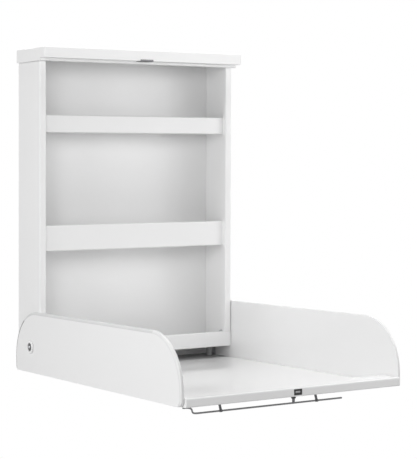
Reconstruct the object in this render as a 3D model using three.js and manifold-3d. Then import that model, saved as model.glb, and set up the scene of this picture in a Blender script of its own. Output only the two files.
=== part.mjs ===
// Wall-hung baby changing station: a shallow open cabinet with three shelves, an overhanging lid, and a tray
// with two side panels that folds down on a pivot bolt at each side. Folded up, the tray covers the cabinet
// and a slide bolt in its front rail locks it under the lid.
//
// Millimetres. x runs across, y towards the wall and z up. The wall is the plane y = 0, and the origin lies
// on the back of the cabinet at the middle of the upper fixing line. Below, a place is given as x, its
// distance out from the wall and its height above the cabinet's underside, or, on the tray, as x, the
// distance forward of the pivot and the height above the pivot.

import * as THREE from 'three';
import { mergeVertices } from 'three/addons/utils/BufferGeometryUtils.js';
import Module from 'manifold-3d';

const wasm = await Module();
wasm.setup();

// Sheet metal and fits
const SHEET = 1.5;
const BEND = 3;
const FIT = 0.3;
const ARC_SAG = 0.15;
const ROUND_SIDES = 24;
const SMALL_ROUND_SIDES = 10;

// Cabinet
const CABINET_WIDTH = 580;
const CABINET_DEPTH = 124;
const CABINET_HEIGHT = 791;
const STILE_WIDTH = 18;
const STILE_RETURN = 15;
const TOP_TURN = 22;
const BOTTOM_RAIL_HEIGHT = 40;
const LIP_HEM = 8;
const SHELF_REAR_TURN = 8;
const UPPER_SHELF = { height: 578, lip: 45 };
const MIDDLE_SHELF = { height: 275, lip: 65.5 };

// Lid and the stop rail under its front
const LID_SIDE_OVERHANG = 6;
const LID_FRONT_OVERHANG = 6;
const LID_FRONT_HEIGHT = 27.5;
const STOP_DROP = 7;

// Wall fixing
const UPPER_FIXING_DROP = 16;
const LOWER_FIXING_HEIGHT = 15;
const FIXING_FROM_SIDE = 80;
const WALL_SCREW = { shank: 3, head: 5.5, headHeight: 3.5 };

// Tray and its pivots
const PIVOT_FROM_FRONT = 32;
const PIVOT_HEIGHT = 32;
const TRAY_TILT = THREE.MathUtils.degToRad(1.7);
const TRAY_DROP = 65;
const PANEL_THICKNESS = 8;
const PANEL_GAP = 2;
const PANEL_CORNER = 120;
const PANEL_HEEL_RADIUS = 8;
const PANEL_TOE_RADIUS = 15;
const WALL_GAP = 2;
const CLOSING_GAP = 2.5;
const STOP_GAP = 0.5;
const FRONT_RAIL_HEIGHT = 20;
const FRONT_RAIL_DEPTH = 58;
const FRONT_RAIL_EDGE = 4;
const FRONT_RAIL_END_GAP = 0.6;
const PAN_REAR_UPSTAND = 30;
const PAN_REAR_INSET = 2;

// Pivot hardware
const PIVOT_BOLT_RADIUS = 5;
const PIVOT_HEAD = { radius: 9, height: 4.6 };
const PIVOT_NUT = { radius: 9, height: 8 };
const PIVOT_RING = { inner: 10.6, outer: 16.5, height: 4 };
const PIVOT_BUSH_WALL = 3;
const PIVOT_SPACER_RADIUS = 14;
const PIVOT_PLATE = { width: 48, height: 36, thickness: 4 };

// Rear stops that hold the open tray
const STOP_FROM_SIDE = 28;
const STOP_BEHIND_PIVOT = 32;
const BUFFER = { radius: 9, taper: 2 };
const STOP_STUD = { shank: 3, head: 6, headHeight: 4, depth: 16 };

// Corner brackets, lid strips and their screws
const BRACKET = { length: 34, foot: 22, thickness: 1.5 };
const REAR_BRACKET_HEIGHT = 20;
const REAR_BRACKET_INSET = 6;
const FRONT_BRACKET_INSET = 20;
const SCREW = { shank: 1.8, head: 3.6, headHeight: 2.2 };
const BRACKET_SCREW_LENGTH = 7.5;
const LID_STRIP = { width: 16, length: 92, thickness: 4, inset: 14 };
const LID_SCREW_SPACING = 64;

// Latch
const LATCH_BOLT = { width: 14, height: 5, length: 44 };
const LATCH_THROW = 10;
const LATCH_FACE = { width: 22, height: 13 };
const LATCH_CASE = { width: 32, length: 34 };
const LATCH_KNOB = { neck: 3, collar: 5.5, collarHeight: 5, pin: 3.3, length: 16, setBack: 18, gap: 1 };
const STRIKE = {
  width: 38, depth: 14, thickness: 1.2, lip: 5, slotWidth: 20, slotDepth: 9, rivetSpacing: 28,
};
const RIVET = { shank: 2, head: 3.6, headHeight: 1.6 };

// Towel rail under the table
const TOWEL_RAIL = { radius: 2, fromPanel: 86, drop: 33, fromFront: 109 };
const TOWEL_CRANK = { rise: 14.5, fromPanel: 85, reach: 26, bow: 12, steepness: 15 };
const TOWEL_POST = { radius: 3, fromEnd: 73, lean: 12, foot: 7, footThickness: 2 };
const TOWEL_EYE = { length: 6, wall: 0.8 };

// Sizes that follow from the ones above
const wallInner = CABINET_WIDTH / 2 - SHEET;
const panelInner = CABINET_WIDTH / 2 + PANEL_GAP;
const panelOuter = panelInner + PANEL_THICKNESS;
const pivotFromWall = CABINET_DEPTH - PIVOT_FROM_FRONT;
const panelReach = pivotFromWall - WALL_GAP;
const upperFixingHeight = CABINET_HEIGHT - UPPER_FIXING_DROP;
const fixingX = CABINET_WIDTH / 2 - FIXING_FROM_SIDE;
const lidHalfWidth = CABINET_WIDTH / 2 + LID_SIDE_OVERHANG;
const lidTop = CABINET_HEIGHT + SHEET;
const lidDepth = pivotFromWall + TRAY_DROP + LID_FRONT_OVERHANG;
const lidFrontBottom = lidTop - LID_FRONT_HEIGHT;
const stopBottom = lidFrontBottom - STOP_DROP;
const panelFront = stopBottom - CLOSING_GAP - PIVOT_HEIGHT;
const railFront = lidFrontBottom - CLOSING_GAP - PIVOT_HEIGHT;
const railRear = railFront - FRONT_RAIL_DEPTH;
const railTop = FRONT_RAIL_HEIGHT - TRAY_DROP;
const floorTop = SHEET - TRAY_DROP;
const stopFace = pivotFromWall - railTop - STOP_GAP;
const shelfFront = CABINET_DEPTH - STILE_RETURN - FIT;
const shelfRear = SHEET + FIT;
const shelfHalfWidth = wallInner - FIT;
const panHalfWidth = panelInner - FIT;
const panRear = PAN_REAR_INSET - panelReach;
const wallTop = CABINET_HEIGHT - LID_STRIP.thickness - 2 * FIT;
const boltHeight = FRONT_RAIL_HEIGHT / 2 - TRAY_DROP;
const strikeOut = pivotFromWall - boltHeight;

const white = (roughness) => new THREE.MeshStandardMaterial({ color: 0xf1f1ef, roughness, metalness: 0 });
const finishes = {
  powderCoat: white(0.45),
  lacquer: white(0.35),
  steel: new THREE.MeshStandardMaterial({ color: 0xa9abad, roughness: 0.35, metalness: 1 }),
  blackPlastic: new THREE.MeshStandardMaterial({ color: 0x161616, roughness: 0.5, metalness: 0 }),
  nylon: new THREE.MeshStandardMaterial({ color: 0xe9e8e3, roughness: 0.5, metalness: 0 }),
  rubber: new THREE.MeshStandardMaterial({ color: 0xadadad, roughness: 0.85, metalness: 0 }),
};

// Number of straight steps in an arc, so that no chord lies further than ARC_SAG from it.
function arcSteps(radius, sweep) {
  const step = 2 * Math.acos(1 - Math.min(ARC_SAG / radius, 0.5));
  return Math.max(2, Math.ceil(sweep / step));
}

// Points along a line of corners [u, v, radius]. A corner with a radius is rounded to it.
function roundedLine(corners, closed = false) {
  const last = corners.length - 1;
  return corners.flatMap(([u, v, radius = 0], i) => {
    const corner = new THREE.Vector2(u, v);
    if (!radius || (!closed && (i === 0 || i === last))) return [corner];
    const heading = ([a, b]) => new THREE.Vector2(a, b).sub(corner).normalize();
    const back = heading(corners[i === 0 ? last : i - 1]);
    const on = heading(corners[i === last ? 0 : i + 1]);
    const half = Math.acos(THREE.MathUtils.clamp(back.dot(on), -1, 1)) / 2;
    const centre = corner.clone().addScaledVector(back.clone().add(on).normalize(), radius / Math.sin(half));
    const first = corner.clone().addScaledVector(back, radius / Math.tan(half)).sub(centre);
    const turn = Math.sign(first.cross(corner.clone().sub(centre))) * (Math.PI - 2 * half);
    const steps = arcSteps(radius, Math.abs(turn));
    return Array.from({ length: steps + 1 }, (_, k) =>
      first.clone().rotateAround(new THREE.Vector2(), (turn * k) / steps).add(centre));
  });
}

const outline = (corners) => new THREE.Shape(roundedLine(corners, true));

// Section of a folded sheet: the corners run along its outer skin, and its thickness lies to their left.
function foldedSheet(corners, thickness = SHEET) {
  const skin = roundedLine(corners);
  const normals = skin.slice(1).map((point, i) => {
    const run = point.clone().sub(skin[i]).normalize();
    return new THREE.Vector2(-run.y, run.x);
  });
  const inside = skin.map((point, i) => {
    const before = normals[Math.max(i - 1, 0)];
    const after = normals[Math.min(i, normals.length - 1)];
    const mitre = before.clone().add(after).divideScalar(1 + before.dot(after));
    return point.clone().addScaledVector(mitre, thickness);
  });
  return new THREE.Shape([...skin, ...inside.reverse()]);
}

const axis = { x: new THREE.Vector3(1, 0, 0), y: new THREE.Vector3(0, 1, 0), z: new THREE.Vector3(0, 0, 1) };
const outward = axis.y.clone().negate();

// A section drawn as (out from the wall, up), run across from x0 to x1.
function across(shape, x0, x1) {
  const geometry = new THREE.ExtrudeGeometry(shape, { depth: x1 - x0, bevelEnabled: false });
  const turn = new THREE.Matrix4().makeBasis(outward, axis.z, axis.x.clone().negate());
  return geometry.applyMatrix4(turn).translate(x1, 0, 0);
}

// A section drawn as (x, out from the wall), run up from z0 to z1.
function upright(shape, z0, z1) {
  const geometry = new THREE.ExtrudeGeometry(shape, { depth: z1 - z0, bevelEnabled: false });
  const turn = new THREE.Matrix4().makeBasis(axis.x, outward, axis.z.clone().negate());
  return geometry.applyMatrix4(turn).translate(0, 0, z1);
}

// A block between two corners given as (x, out from the wall, up).
function block([x0, out0, z0], [x1, out1, z1]) {
  const geometry = new THREE.BoxGeometry(Math.abs(x1 - x0), Math.abs(out1 - out0), Math.abs(z1 - z0));
  return geometry.translate((x0 + x1) / 2, -(out0 + out1) / 2, (z0 + z1) / 2);
}

// The same surface with its doubled corners joined and its empty triangles left out.
function welded(geometry) {
  const bare = geometry.clone();
  bare.deleteAttribute('normal');
  bare.deleteAttribute('uv');
  const merged = mergeVertices(bare, 1e-4);
  const corners = merged.index.array;
  const kept = [];
  for (let i = 0; i < corners.length; i += 3) {
    const [a, b, c] = corners.slice(i, i + 3);
    if (a !== b && b !== c && c !== a) kept.push(a, b, c);
  }
  merged.setIndex(kept);
  merged.computeVertexNormals();
  return merged;
}

// A turned piece: the profile [radius, distance along the axis] is spun about an axis through a place. A
// profile that does not begin on the axis is closed into a ring.
function turned(profile, direction, [x, out, z], sides = ROUND_SIDES) {
  const ring = profile[0][0] > 0 ? [profile[0]] : [];
  const points = [...profile, ...ring].map(([r, t]) => new THREE.Vector2(r, t));
  if (THREE.ShapeUtils.area(points) < 0) points.reverse();
  const turn = new THREE.Quaternion().setFromUnitVectors(axis.y, direction);
  return welded(new THREE.LatheGeometry(points, sides)).applyQuaternion(turn).translate(x, -out, z);
}

// A plain round rod from t0 to t1 along an axis through a place.
function rod(radius, t0, t1, direction, place, sides = ROUND_SIDES) {
  return turned([[0, t0], [radius, t0], [radius, t1], [0, t1]], direction, place, sides);
}

// A hexagon from t0 to t1 along x, with two corners up and down.
function hexAlongX(radius, t0, t1, [out, z]) {
  const geometry = new THREE.CylinderGeometry(radius, radius, Math.abs(t1 - t0), 6);
  return geometry.rotateZ(-Math.PI / 2).translate((t0 + t1) / 2, -out, z);
}

function solid(geometry) {
  const closed = welded(geometry);
  return new wasm.Manifold(new wasm.Mesh({
    numProp: 3,
    vertProperties: new Float32Array(closed.attributes.position.array),
    triVerts: new Uint32Array(closed.index.array),
  }));
}

function geometryOf(manifold) {
  const { vertProperties, triVerts } = manifold.getMesh();
  const geometry = new THREE.BufferGeometry();
  geometry.setAttribute('position', new THREE.BufferAttribute(vertProperties, 3));
  geometry.setIndex(new THREE.BufferAttribute(triVerts, 1));
  geometry.computeVertexNormals();
  return geometry;
}

const cut = (body, ...tools) =>
  geometryOf(tools.reduce((left, tool) => left.subtract(solid(tool)), solid(body)));
const join = (...bodies) => geometryOf(bodies.map(solid).reduce((sum, next) => sum.add(next)));

function piece(group, name, finish, geometry) {
  const mesh = new THREE.Mesh(geometry, finishes[finish]);
  mesh.name = name;
  group.add(mesh);
}

const sides = [['left', -1], ['right', 1]];
const towards = (side) => axis.x.clone().multiplyScalar(side);

// A round-headed screw along an axis: its head lies before the seat and its shank runs on from it.
function screw(direction, seat, length) {
  const { shank, head, headHeight } = SCREW;
  const profile = [
    [0, -headHeight], [head / 2, -headHeight], [head, -headHeight / 2], [head, 0],
    [shank, 0], [shank, length], [0, length],
  ];
  return turned(profile, direction, seat, SMALL_ROUND_SIDES);
}

const screwHole = (direction, seat, from, to) =>
  rod(SCREW.shank + FIT, from, to, direction, seat, SMALL_ROUND_SIDES);

// Back panel and the screws that hold it to the wall
const fixings = [['upper', upperFixingHeight], ['lower', LOWER_FIXING_HEIGHT]].flatMap(([row, height]) =>
  sides.map(([name, side]) => ({ name: `${row}_${name}`, place: [side * fixingX, 0, height] })));

function backPanel() {
  const plate = block([-shelfHalfWidth, 0, 0], [shelfHalfWidth, SHEET, CABINET_HEIGHT - FIT]);
  const holes = fixings.map(({ place }) =>
    rod(WALL_SCREW.shank + FIT, -SHEET, 2 * SHEET, outward, place, SMALL_ROUND_SIDES));
  return cut(plate, ...holes);
}

function wallScrew(place) {
  const { shank, head, headHeight } = WALL_SCREW;
  const seat = SHEET + FIT;
  const profile = [
    [0, 0], [shank, 0], [shank, seat], [head, seat],
    [head, seat + headHeight / 2], [head / 2, seat + headHeight], [0, seat + headHeight],
  ];
  return turned(profile, outward, place, SMALL_ROUND_SIDES);
}

// A strip under the lid takes the screws that come up through the top turn of each wall.
const stripX = CABINET_WIDTH / 2 - LID_STRIP.inset;
const stripOut = (shelfRear + CABINET_DEPTH - STILE_RETURN - BEND) / 2;
const lidScrewSeat = wallTop - SHEET - FIT;
const lidScrewLength = CABINET_HEIGHT - 2 * FIT - lidScrewSeat;
const stripScrews = [['rear', -1], ['front', 1]].map(([name, end]) =>
  ({ name, out: stripOut + (end * LID_SCREW_SPACING) / 2 }));

function sideWall(side) {
  const outer = CABINET_WIDTH / 2;
  const stileInner = outer - STILE_WIDTH;
  const skin = [
    [side * outer, 0],
    [side * outer, CABINET_DEPTH, BEND],
    [side * stileInner, CABINET_DEPTH, BEND],
    [side * stileInner, CABINET_DEPTH - STILE_RETURN],
  ];
  const wall = upright(foldedSheet(skin, side * SHEET), 0, wallTop);
  const topTurn = block(
    [side * (outer - SHEET / 2), shelfRear, wallTop - SHEET],
    [side * (outer - TOP_TURN), CABINET_DEPTH - STILE_RETURN - BEND, wallTop],
  );
  const railRecess = block(
    [side * (stileInner - SHEET), CABINET_DEPTH - SHEET - BEND - FIT, -SHEET],
    [side * (outer + SHEET), CABINET_DEPTH + SHEET, BOTTOM_RAIL_HEIGHT + FIT],
  );
  const returnRecess = block(
    [side * (stileInner - SHEET), CABINET_DEPTH - STILE_RETURN - SHEET, -SHEET],
    [side * shelfHalfWidth, CABINET_DEPTH, BOTTOM_RAIL_HEIGHT + FIT],
  );
  const pivotHole = rod(PIVOT_BOLT_RADIUS + FIT, wallInner - SHEET, outer + SHEET, towards(side),
    [0, pivotFromWall, PIVOT_HEIGHT]);
  const screwHoles = stripScrews.map(({ out }) =>
    screwHole(axis.z, [side * stripX, out, wallTop], -2 * SHEET, SHEET));
  return cut(join(wall, topTurn), railRecess, returnRecess, pivotHole, ...screwHoles);
}

// Shelves: each is one sheet, turned up at the back and folded up into a hemmed lip at the front.
function shelfSection(height, lip, front) {
  return foldedSheet([
    [shelfRear, height + SHELF_REAR_TURN],
    [shelfRear, height, BEND],
    [front, height, BEND],
    [front, height + lip, BEND],
    [front - LIP_HEM, height + lip],
  ]);
}

const shelf = ({ height, lip }) =>
  across(shelfSection(height, lip, shelfFront), -shelfHalfWidth, shelfHalfWidth);

// The lowest shelf's lip is the bottom rail, which runs over the front edges of the walls.
const stopOut = pivotFromWall - STOP_BEHIND_PIVOT;
const stopX = CABINET_WIDTH / 2 - STOP_FROM_SIDE;

function bottomShelf() {
  const half = CABINET_WIDTH / 2;
  const sheet = across(shelfSection(0, BOTTOM_RAIL_HEIGHT, CABINET_DEPTH), -half, half);
  const ends = sides.map(([, side]) => block(
    [side * shelfHalfWidth, -SHEET, -SHEET],
    [side * (half + SHEET), CABINET_DEPTH - SHEET - BEND, BOTTOM_RAIL_HEIGHT + SHEET],
  ));
  const holes = sides.map(([, side]) =>
    rod(STOP_STUD.shank + FIT, -SHEET, 2 * SHEET, axis.z, [side * stopX, stopOut, 0], SMALL_ROUND_SIDES));
  return cut(sheet, ...ends, ...holes);
}

// Lid: a shell open below and behind, with its skirts cut back at the front to let the tray in.
function lid() {
  const skin = outline([
    [0, lidTop],
    [lidDepth, lidTop, BEND],
    [lidDepth, lidFrontBottom],
    [stopFace, lidFrontBottom],
    [stopFace, stopBottom],
    [0, stopBottom],
  ]);
  const hollow = outline([
    [-SHEET, lidTop - SHEET],
    [lidDepth - SHEET, lidTop - SHEET, BEND - SHEET],
    [lidDepth - SHEET, stopBottom - SHEET],
    [-SHEET, stopBottom - SHEET],
  ]);
  return cut(
    across(skin, -lidHalfWidth, lidHalfWidth),
    across(hollow, SHEET - lidHalfWidth, lidHalfWidth - SHEET),
  );
}

const rivets = sides.map(([name, side]) => ({ name, x: (side * STRIKE.rivetSpacing) / 2 }));
const strikeTop = lidFrontBottom - FIT;
const strikeBottom = strikeTop - STRIKE.thickness;

const strikeCuts = () => [
  block(
    [-STRIKE.slotWidth / 2, strikeOut - STRIKE.slotDepth / 2, strikeBottom - SHEET],
    [STRIKE.slotWidth / 2, strikeOut + STRIKE.slotDepth / 2, lidFrontBottom + 2 * SHEET],
  ),
  ...rivets.map(({ x }) => rod(RIVET.shank + FIT, -3 * SHEET, 3 * SHEET, axis.z,
    [x, strikeOut, lidFrontBottom], SMALL_ROUND_SIDES)),
];

// The stop rail closes the underside of the lid's front, drops to a strip that the tray's front rail comes up
// against, and runs back to the stiles.
function stopRail() {
  const section = foldedSheet([
    [lidDepth - SHEET - FIT, lidFrontBottom],
    [stopFace, lidFrontBottom, BEND],
    [stopFace, stopBottom, BEND],
    [CABINET_DEPTH + FIT, stopBottom],
  ], -SHEET);
  const half = lidHalfWidth - SHEET - FIT;
  return cut(across(section, -half, half), ...strikeCuts());
}

// The strike's front edge is turned up over the lower edge of the lid's front.
function strikePlate() {
  const lipFace = lidDepth + FIT + STRIKE.thickness;
  const plate = block(
    [-STRIKE.width / 2, strikeOut - STRIKE.depth / 2, strikeBottom],
    [STRIKE.width / 2, lipFace, strikeTop],
  );
  const lip = block(
    [-STRIKE.width / 2, lidDepth + FIT, strikeBottom],
    [STRIKE.width / 2, lipFace, strikeBottom + STRIKE.lip],
  );
  return cut(join(plate, lip), ...strikeCuts());
}

function strikeRivet(x) {
  const seat = lidFrontBottom + SHEET + FIT - strikeBottom;
  const profile = [
    [0, 0], [RIVET.shank, 0], [RIVET.shank, seat], [RIVET.head, seat],
    [RIVET.head / 2, seat + RIVET.headHeight], [0, seat + RIVET.headHeight],
  ];
  return turned(profile, axis.z, [x, strikeOut, strikeBottom], SMALL_ROUND_SIDES);
}

function lidStrip(side) {
  const strip = block(
    [side * (stripX - LID_STRIP.width / 2), stripOut - LID_STRIP.length / 2, wallTop + FIT],
    [side * (stripX + LID_STRIP.width / 2), stripOut + LID_STRIP.length / 2, CABINET_HEIGHT - FIT],
  );
  const holes = stripScrews.map(({ out }) =>
    screwHole(axis.z, [side * stripX, out, wallTop], -SHEET, LID_STRIP.thickness + SHEET));
  return cut(strip, ...holes);
}

// Pivots: a bolt each side runs in from the panel through a spacer, the wall and a plate to its nut.
const pivot = [pivotFromWall, PIVOT_HEIGHT];
const pivotBore = PIVOT_BOLT_RADIUS + FIT;
const plateInner = wallInner - FIT - PIVOT_PLATE.thickness;
const nutInner = plateInner - FIT - PIVOT_NUT.height;

function pivotBolt(side) {
  const seat = panelOuter + FIT;
  const shank = rod(PIVOT_BOLT_RADIUS, nutInner - SHEET, seat + SHEET, towards(side), [0, ...pivot]);
  return join(shank, hexAlongX(PIVOT_HEAD.radius, side * seat, side * (seat + PIVOT_HEAD.height), pivot));
}

function pivotNut(side) {
  const nut = hexAlongX(PIVOT_NUT.radius, side * nutInner, side * (plateInner - FIT), pivot);
  return cut(nut, rod(pivotBore, nutInner - SHEET, plateInner + SHEET, towards(side), [0, ...pivot]));
}

function pivotPlate(side) {
  const bottom = SHEET + BEND + FIT;
  const front = CABINET_DEPTH - LIP_HEM - FIT;
  const plate = block(
    [side * plateInner, front - PIVOT_PLATE.width, bottom],
    [side * (wallInner - FIT), front, bottom + PIVOT_PLATE.height],
  );
  return cut(plate, rod(pivotBore, plateInner - SHEET, wallInner, towards(side), [0, ...pivot]));
}

// A ring about the pivot between two radii and two distances from the middle.
function pivotRing(side, inner, outer, t0, t1, place) {
  return turned([[inner, t0], [outer, t0], [outer, t1], [inner, t1]], towards(side), place);
}

// Rear stops: a rubber buffer under each end of the bottom shelf meets the tray's floor behind the pivot.
const floorAtStop = PIVOT_HEIGHT - STOP_BEHIND_PIVOT * Math.sin(TRAY_TILT) + floorTop * Math.cos(TRAY_TILT);
const bufferBottom = floorAtStop + BUFFER.radius * Math.sin(TRAY_TILT) + FIT;

function stopBuffer(side) {
  const bore = STOP_STUD.shank + FIT;
  const profile = [
    [0, bufferBottom], [BUFFER.radius - BUFFER.taper, bufferBottom], [BUFFER.radius, -FIT],
    [bore, -FIT], [bore, -2 * FIT - STOP_STUD.depth], [0, -2 * FIT - STOP_STUD.depth],
  ];
  return turned(profile, axis.z, [side * stopX, stopOut, 0], SMALL_ROUND_SIDES * 2);
}

function stopStud(side) {
  const seat = SHEET + FIT;
  const { shank, head, headHeight, depth } = STOP_STUD;
  const profile = [
    [0, -FIT - depth], [shank, -FIT - depth], [shank, seat], [head, seat],
    [head, seat + headHeight], [0, seat + headHeight],
  ];
  return turned(profile, axis.z, [side * stopX, stopOut, 0], SMALL_ROUND_SIDES);
}

const cabinet = new THREE.Group();
cabinet.name = 'cabinet';
piece(cabinet, 'back_panel', 'powderCoat', backPanel());
piece(cabinet, 'upper_shelf', 'powderCoat', shelf(UPPER_SHELF));
piece(cabinet, 'middle_shelf', 'powderCoat', shelf(MIDDLE_SHELF));
piece(cabinet, 'bottom_shelf', 'powderCoat', bottomShelf());
piece(cabinet, 'lid', 'powderCoat', lid());
piece(cabinet, 'stop_rail', 'powderCoat', stopRail());
piece(cabinet, 'strike_plate', 'steel', strikePlate());
rivets.forEach(({ name, x }) => piece(cabinet, `${name}_strike_rivet`, 'steel', strikeRivet(x)));
fixings.forEach(({ name, place }) => piece(cabinet, `${name}_wall_screw`, 'steel', wallScrew(place)));
sides.forEach(([name, side]) => {
  piece(cabinet, `${name}_wall`, 'powderCoat', sideWall(side));
  piece(cabinet, `${name}_lid_strip`, 'steel', lidStrip(side));
  stripScrews.forEach(({ name: end, out }) => piece(cabinet, `${name}_${end}_lid_screw`, 'steel',
    screw(axis.z, [side * stripX, out, lidScrewSeat], lidScrewLength)));
  piece(cabinet, `${name}_pivot_plate`, 'powderCoat', pivotPlate(side));
  piece(cabinet, `${name}_pivot_bolt`, 'steel', pivotBolt(side));
  piece(cabinet, `${name}_pivot_nut`, 'steel', pivotNut(side));
  piece(cabinet, `${name}_pivot_spacer`, 'nylon', pivotRing(side, pivotBore, PIVOT_SPACER_RADIUS,
    CABINET_WIDTH / 2 + FIT, panelInner - FIT, [0, ...pivot]));
  piece(cabinet, `${name}_stop_buffer`, 'rubber', stopBuffer(side));
  piece(cabinet, `${name}_stop_stud`, 'steel', stopStud(side));
});

// Tray: from here on, places are x, forward of the pivot and above the pivot.
const brackets = [
  { name: 'front', from: railFront - FRONT_BRACKET_INSET - BRACKET.length, top: railTop - SHEET - FIT },
  { name: 'rear', from: panRear + SHEET + REAR_BRACKET_INSET, top: floorTop + FIT + REAR_BRACKET_HEIGHT },
].map((bracket) => ({
  ...bracket,
  middle: [bracket.from + BRACKET.length / 2, (floorTop + FIT + BRACKET.thickness + bracket.top) / 2],
}));
const bracketSeat = panHalfWidth - BRACKET.thickness - FIT;

function sidePanel(side) {
  const shape = outline([
    [-panelReach, -TRAY_DROP, PANEL_HEEL_RADIUS],
    [panelFront, -TRAY_DROP, PANEL_TOE_RADIUS],
    [panelFront, panelReach, PANEL_CORNER],
    [-panelReach, panelReach, PANEL_CORNER],
  ]);
  const faces = [side * panelInner, side * panelOuter].sort((a, b) => a - b);
  const bush = pivotBore + PIVOT_BUSH_WALL + FIT;
  return cut(
    across(shape, ...faces),
    rod(bush, panelInner - SHEET, panelOuter + SHEET, towards(side), [0, 0, 0]),
    ...brackets.map(({ middle }) =>
      screwHole(towards(side), [0, ...middle], panelInner - SHEET, bracketSeat + BRACKET_SCREW_LENGTH + FIT)),
  );
}

// The table is one sheet: turned up at the back, and folded round at the front into a box rail.
const neckSlot = LATCH_KNOB.neck + 2 * FIT;
const knobForward = railFront - LATCH_KNOB.setBack;

function tablePan() {
  const section = foldedSheet([
    [panRear, PAN_REAR_UPSTAND - TRAY_DROP],
    [panRear, -TRAY_DROP, BEND],
    [railFront, -TRAY_DROP, BEND],
    [railFront, railTop, FRONT_RAIL_EDGE],
    [railRear, railTop, BEND],
    [railRear, floorTop + FIT],
  ]);
  const railEnds = sides.map(([, side]) => block(
    [side * (panHalfWidth - FRONT_RAIL_END_GAP), railRear - SHEET, floorTop + BEND],
    [side * (panHalfWidth + SHEET), railFront + SHEET, railTop + SHEET],
  ));
  const latchHole = block(
    [-LATCH_FACE.width / 2 - FIT, railFront - FRONT_RAIL_EDGE, boltHeight - LATCH_FACE.height / 2 - FIT],
    [LATCH_FACE.width / 2 + FIT, railFront + SHEET, boltHeight + LATCH_FACE.height / 2 + FIT],
  );
  const knobSlot = block(
    [-neckSlot, knobForward - neckSlot, -TRAY_DROP - SHEET],
    [neckSlot, knobForward + LATCH_THROW + neckSlot, floorTop + SHEET],
  );
  return cut(across(section, -panHalfWidth, panHalfWidth), ...railEnds, latchHole, knobSlot);
}

function bracket(side, { from, top, middle }) {
  const to = from + BRACKET.length;
  const bottom = floorTop + FIT;
  const leg = block(
    [side * (panHalfWidth - BRACKET.thickness), from, bottom],
    [side * panHalfWidth, to, top],
  );
  const foot = block(
    [side * (panHalfWidth - BRACKET.foot), from, bottom],
    [side * panHalfWidth, to, bottom + BRACKET.thickness],
  );
  return cut(join(leg, foot), screwHole(towards(side), [0, ...middle], bracketSeat - SHEET, panelInner));
}

// Towel rail: a rod that is carried by two posts with eyes and steps up in a crank at its left end.
const railForward = railFront - TOWEL_RAIL.fromFront;
const towelRailHeight = -TRAY_DROP - TOWEL_RAIL.drop;
const towelRailEnd = panelInner - TOWEL_RAIL.fromPanel;

function towelRail() {
  const { radius } = TOWEL_RAIL;
  const { rise, fromPanel, reach, bow, steepness } = TOWEL_CRANK;
  const crankX = fromPanel - panelInner;
  const straight = rod(radius, crankX + bow - radius, towelRailEnd, axis.x,
    [0, railForward, towelRailHeight], SMALL_ROUND_SIDES);
  const along = (x, height) => new THREE.Vector3(crankX + x, -railForward, towelRailHeight + height);
  const crank = new THREE.CubicBezierCurve3(
    along(-reach, rise), along(steepness, rise), along(-steepness, 0), along(bow, 0));
  const circle = new THREE.EllipseCurve(0, 0, radius, radius).getPoints(SMALL_ROUND_SIDES);
  const round = new THREE.Shape(circle.slice(1));
  return join(straight, new THREE.ExtrudeGeometry(round, { extrudePath: crank, steps: 14 }));
}

function towelPost(side) {
  const { radius, fromEnd, lean, foot, footThickness } = TOWEL_POST;
  const x = side * (towelRailEnd - fromEnd);
  const eye = [x, railForward, towelRailHeight];
  const bore = TOWEL_RAIL.radius + FIT;
  const footTop = -TRAY_DROP - FIT;
  const rise = new THREE.Vector3(0, lean, footTop - footThickness / 2 - towelRailHeight);
  const plate = rod(foot, footTop - footThickness, footTop, axis.z, [x, railForward - lean, 0]);
  const stem = rod(radius, 0, rise.length(), rise.clone().normalize(), eye, SMALL_ROUND_SIDES);
  const half = TOWEL_EYE.length / 2;
  const ring = rod(bore + TOWEL_EYE.wall, -half, half, axis.x, eye, SMALL_ROUND_SIDES * 2);
  return cut(join(plate, stem, ring), rod(bore, -2 * half, 2 * half, axis.x, eye, SMALL_ROUND_SIDES));
}

// Latch: a case inside the front rail guides a flat bolt, which a knob under the table slides forward.
function latchCase() {
  const front = railFront - FRONT_RAIL_EDGE - FIT;
  const rear = front - LATCH_CASE.length;
  const body = block(
    [-LATCH_CASE.width / 2, rear, floorTop + FIT],
    [LATCH_CASE.width / 2, front, railTop - SHEET - FIT],
  );
  const face = block(
    [-LATCH_FACE.width / 2, rear, boltHeight - LATCH_FACE.height / 2],
    [LATCH_FACE.width / 2, railFront, boltHeight + LATCH_FACE.height / 2],
  );
  const channel = block(
    [-LATCH_BOLT.width / 2 - FIT, rear - SHEET, boltHeight - LATCH_BOLT.height / 2 - FIT],
    [LATCH_BOLT.width / 2 + FIT, railFront + SHEET, boltHeight + LATCH_BOLT.height / 2 + FIT],
  );
  const slot = block(
    [-neckSlot, knobForward - neckSlot, -TRAY_DROP],
    [neckSlot, knobForward + LATCH_THROW + neckSlot, boltHeight],
  );
  return cut(join(body, face), channel, slot);
}

function latchBolt() {
  const tip = railFront - FIT;
  return block(
    [-LATCH_BOLT.width / 2, tip - LATCH_BOLT.length, boltHeight - LATCH_BOLT.height / 2],
    [LATCH_BOLT.width / 2, tip, boltHeight + LATCH_BOLT.height / 2],
  );
}

function latchKnob() {
  const { neck, collar, collarHeight, pin, length, gap } = LATCH_KNOB;
  const neckTop = boltHeight - LATCH_BOLT.height / 2 - FIT;
  const top = -TRAY_DROP - gap;
  const profile = [
    [0, top - length], [pin, top - length], [pin, top - collarHeight], [collar, top - collarHeight],
    [collar, top], [neck, top], [neck, neckTop], [0, neckTop],
  ];
  return turned(profile, axis.z, [0, knobForward, 0]);
}

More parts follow.
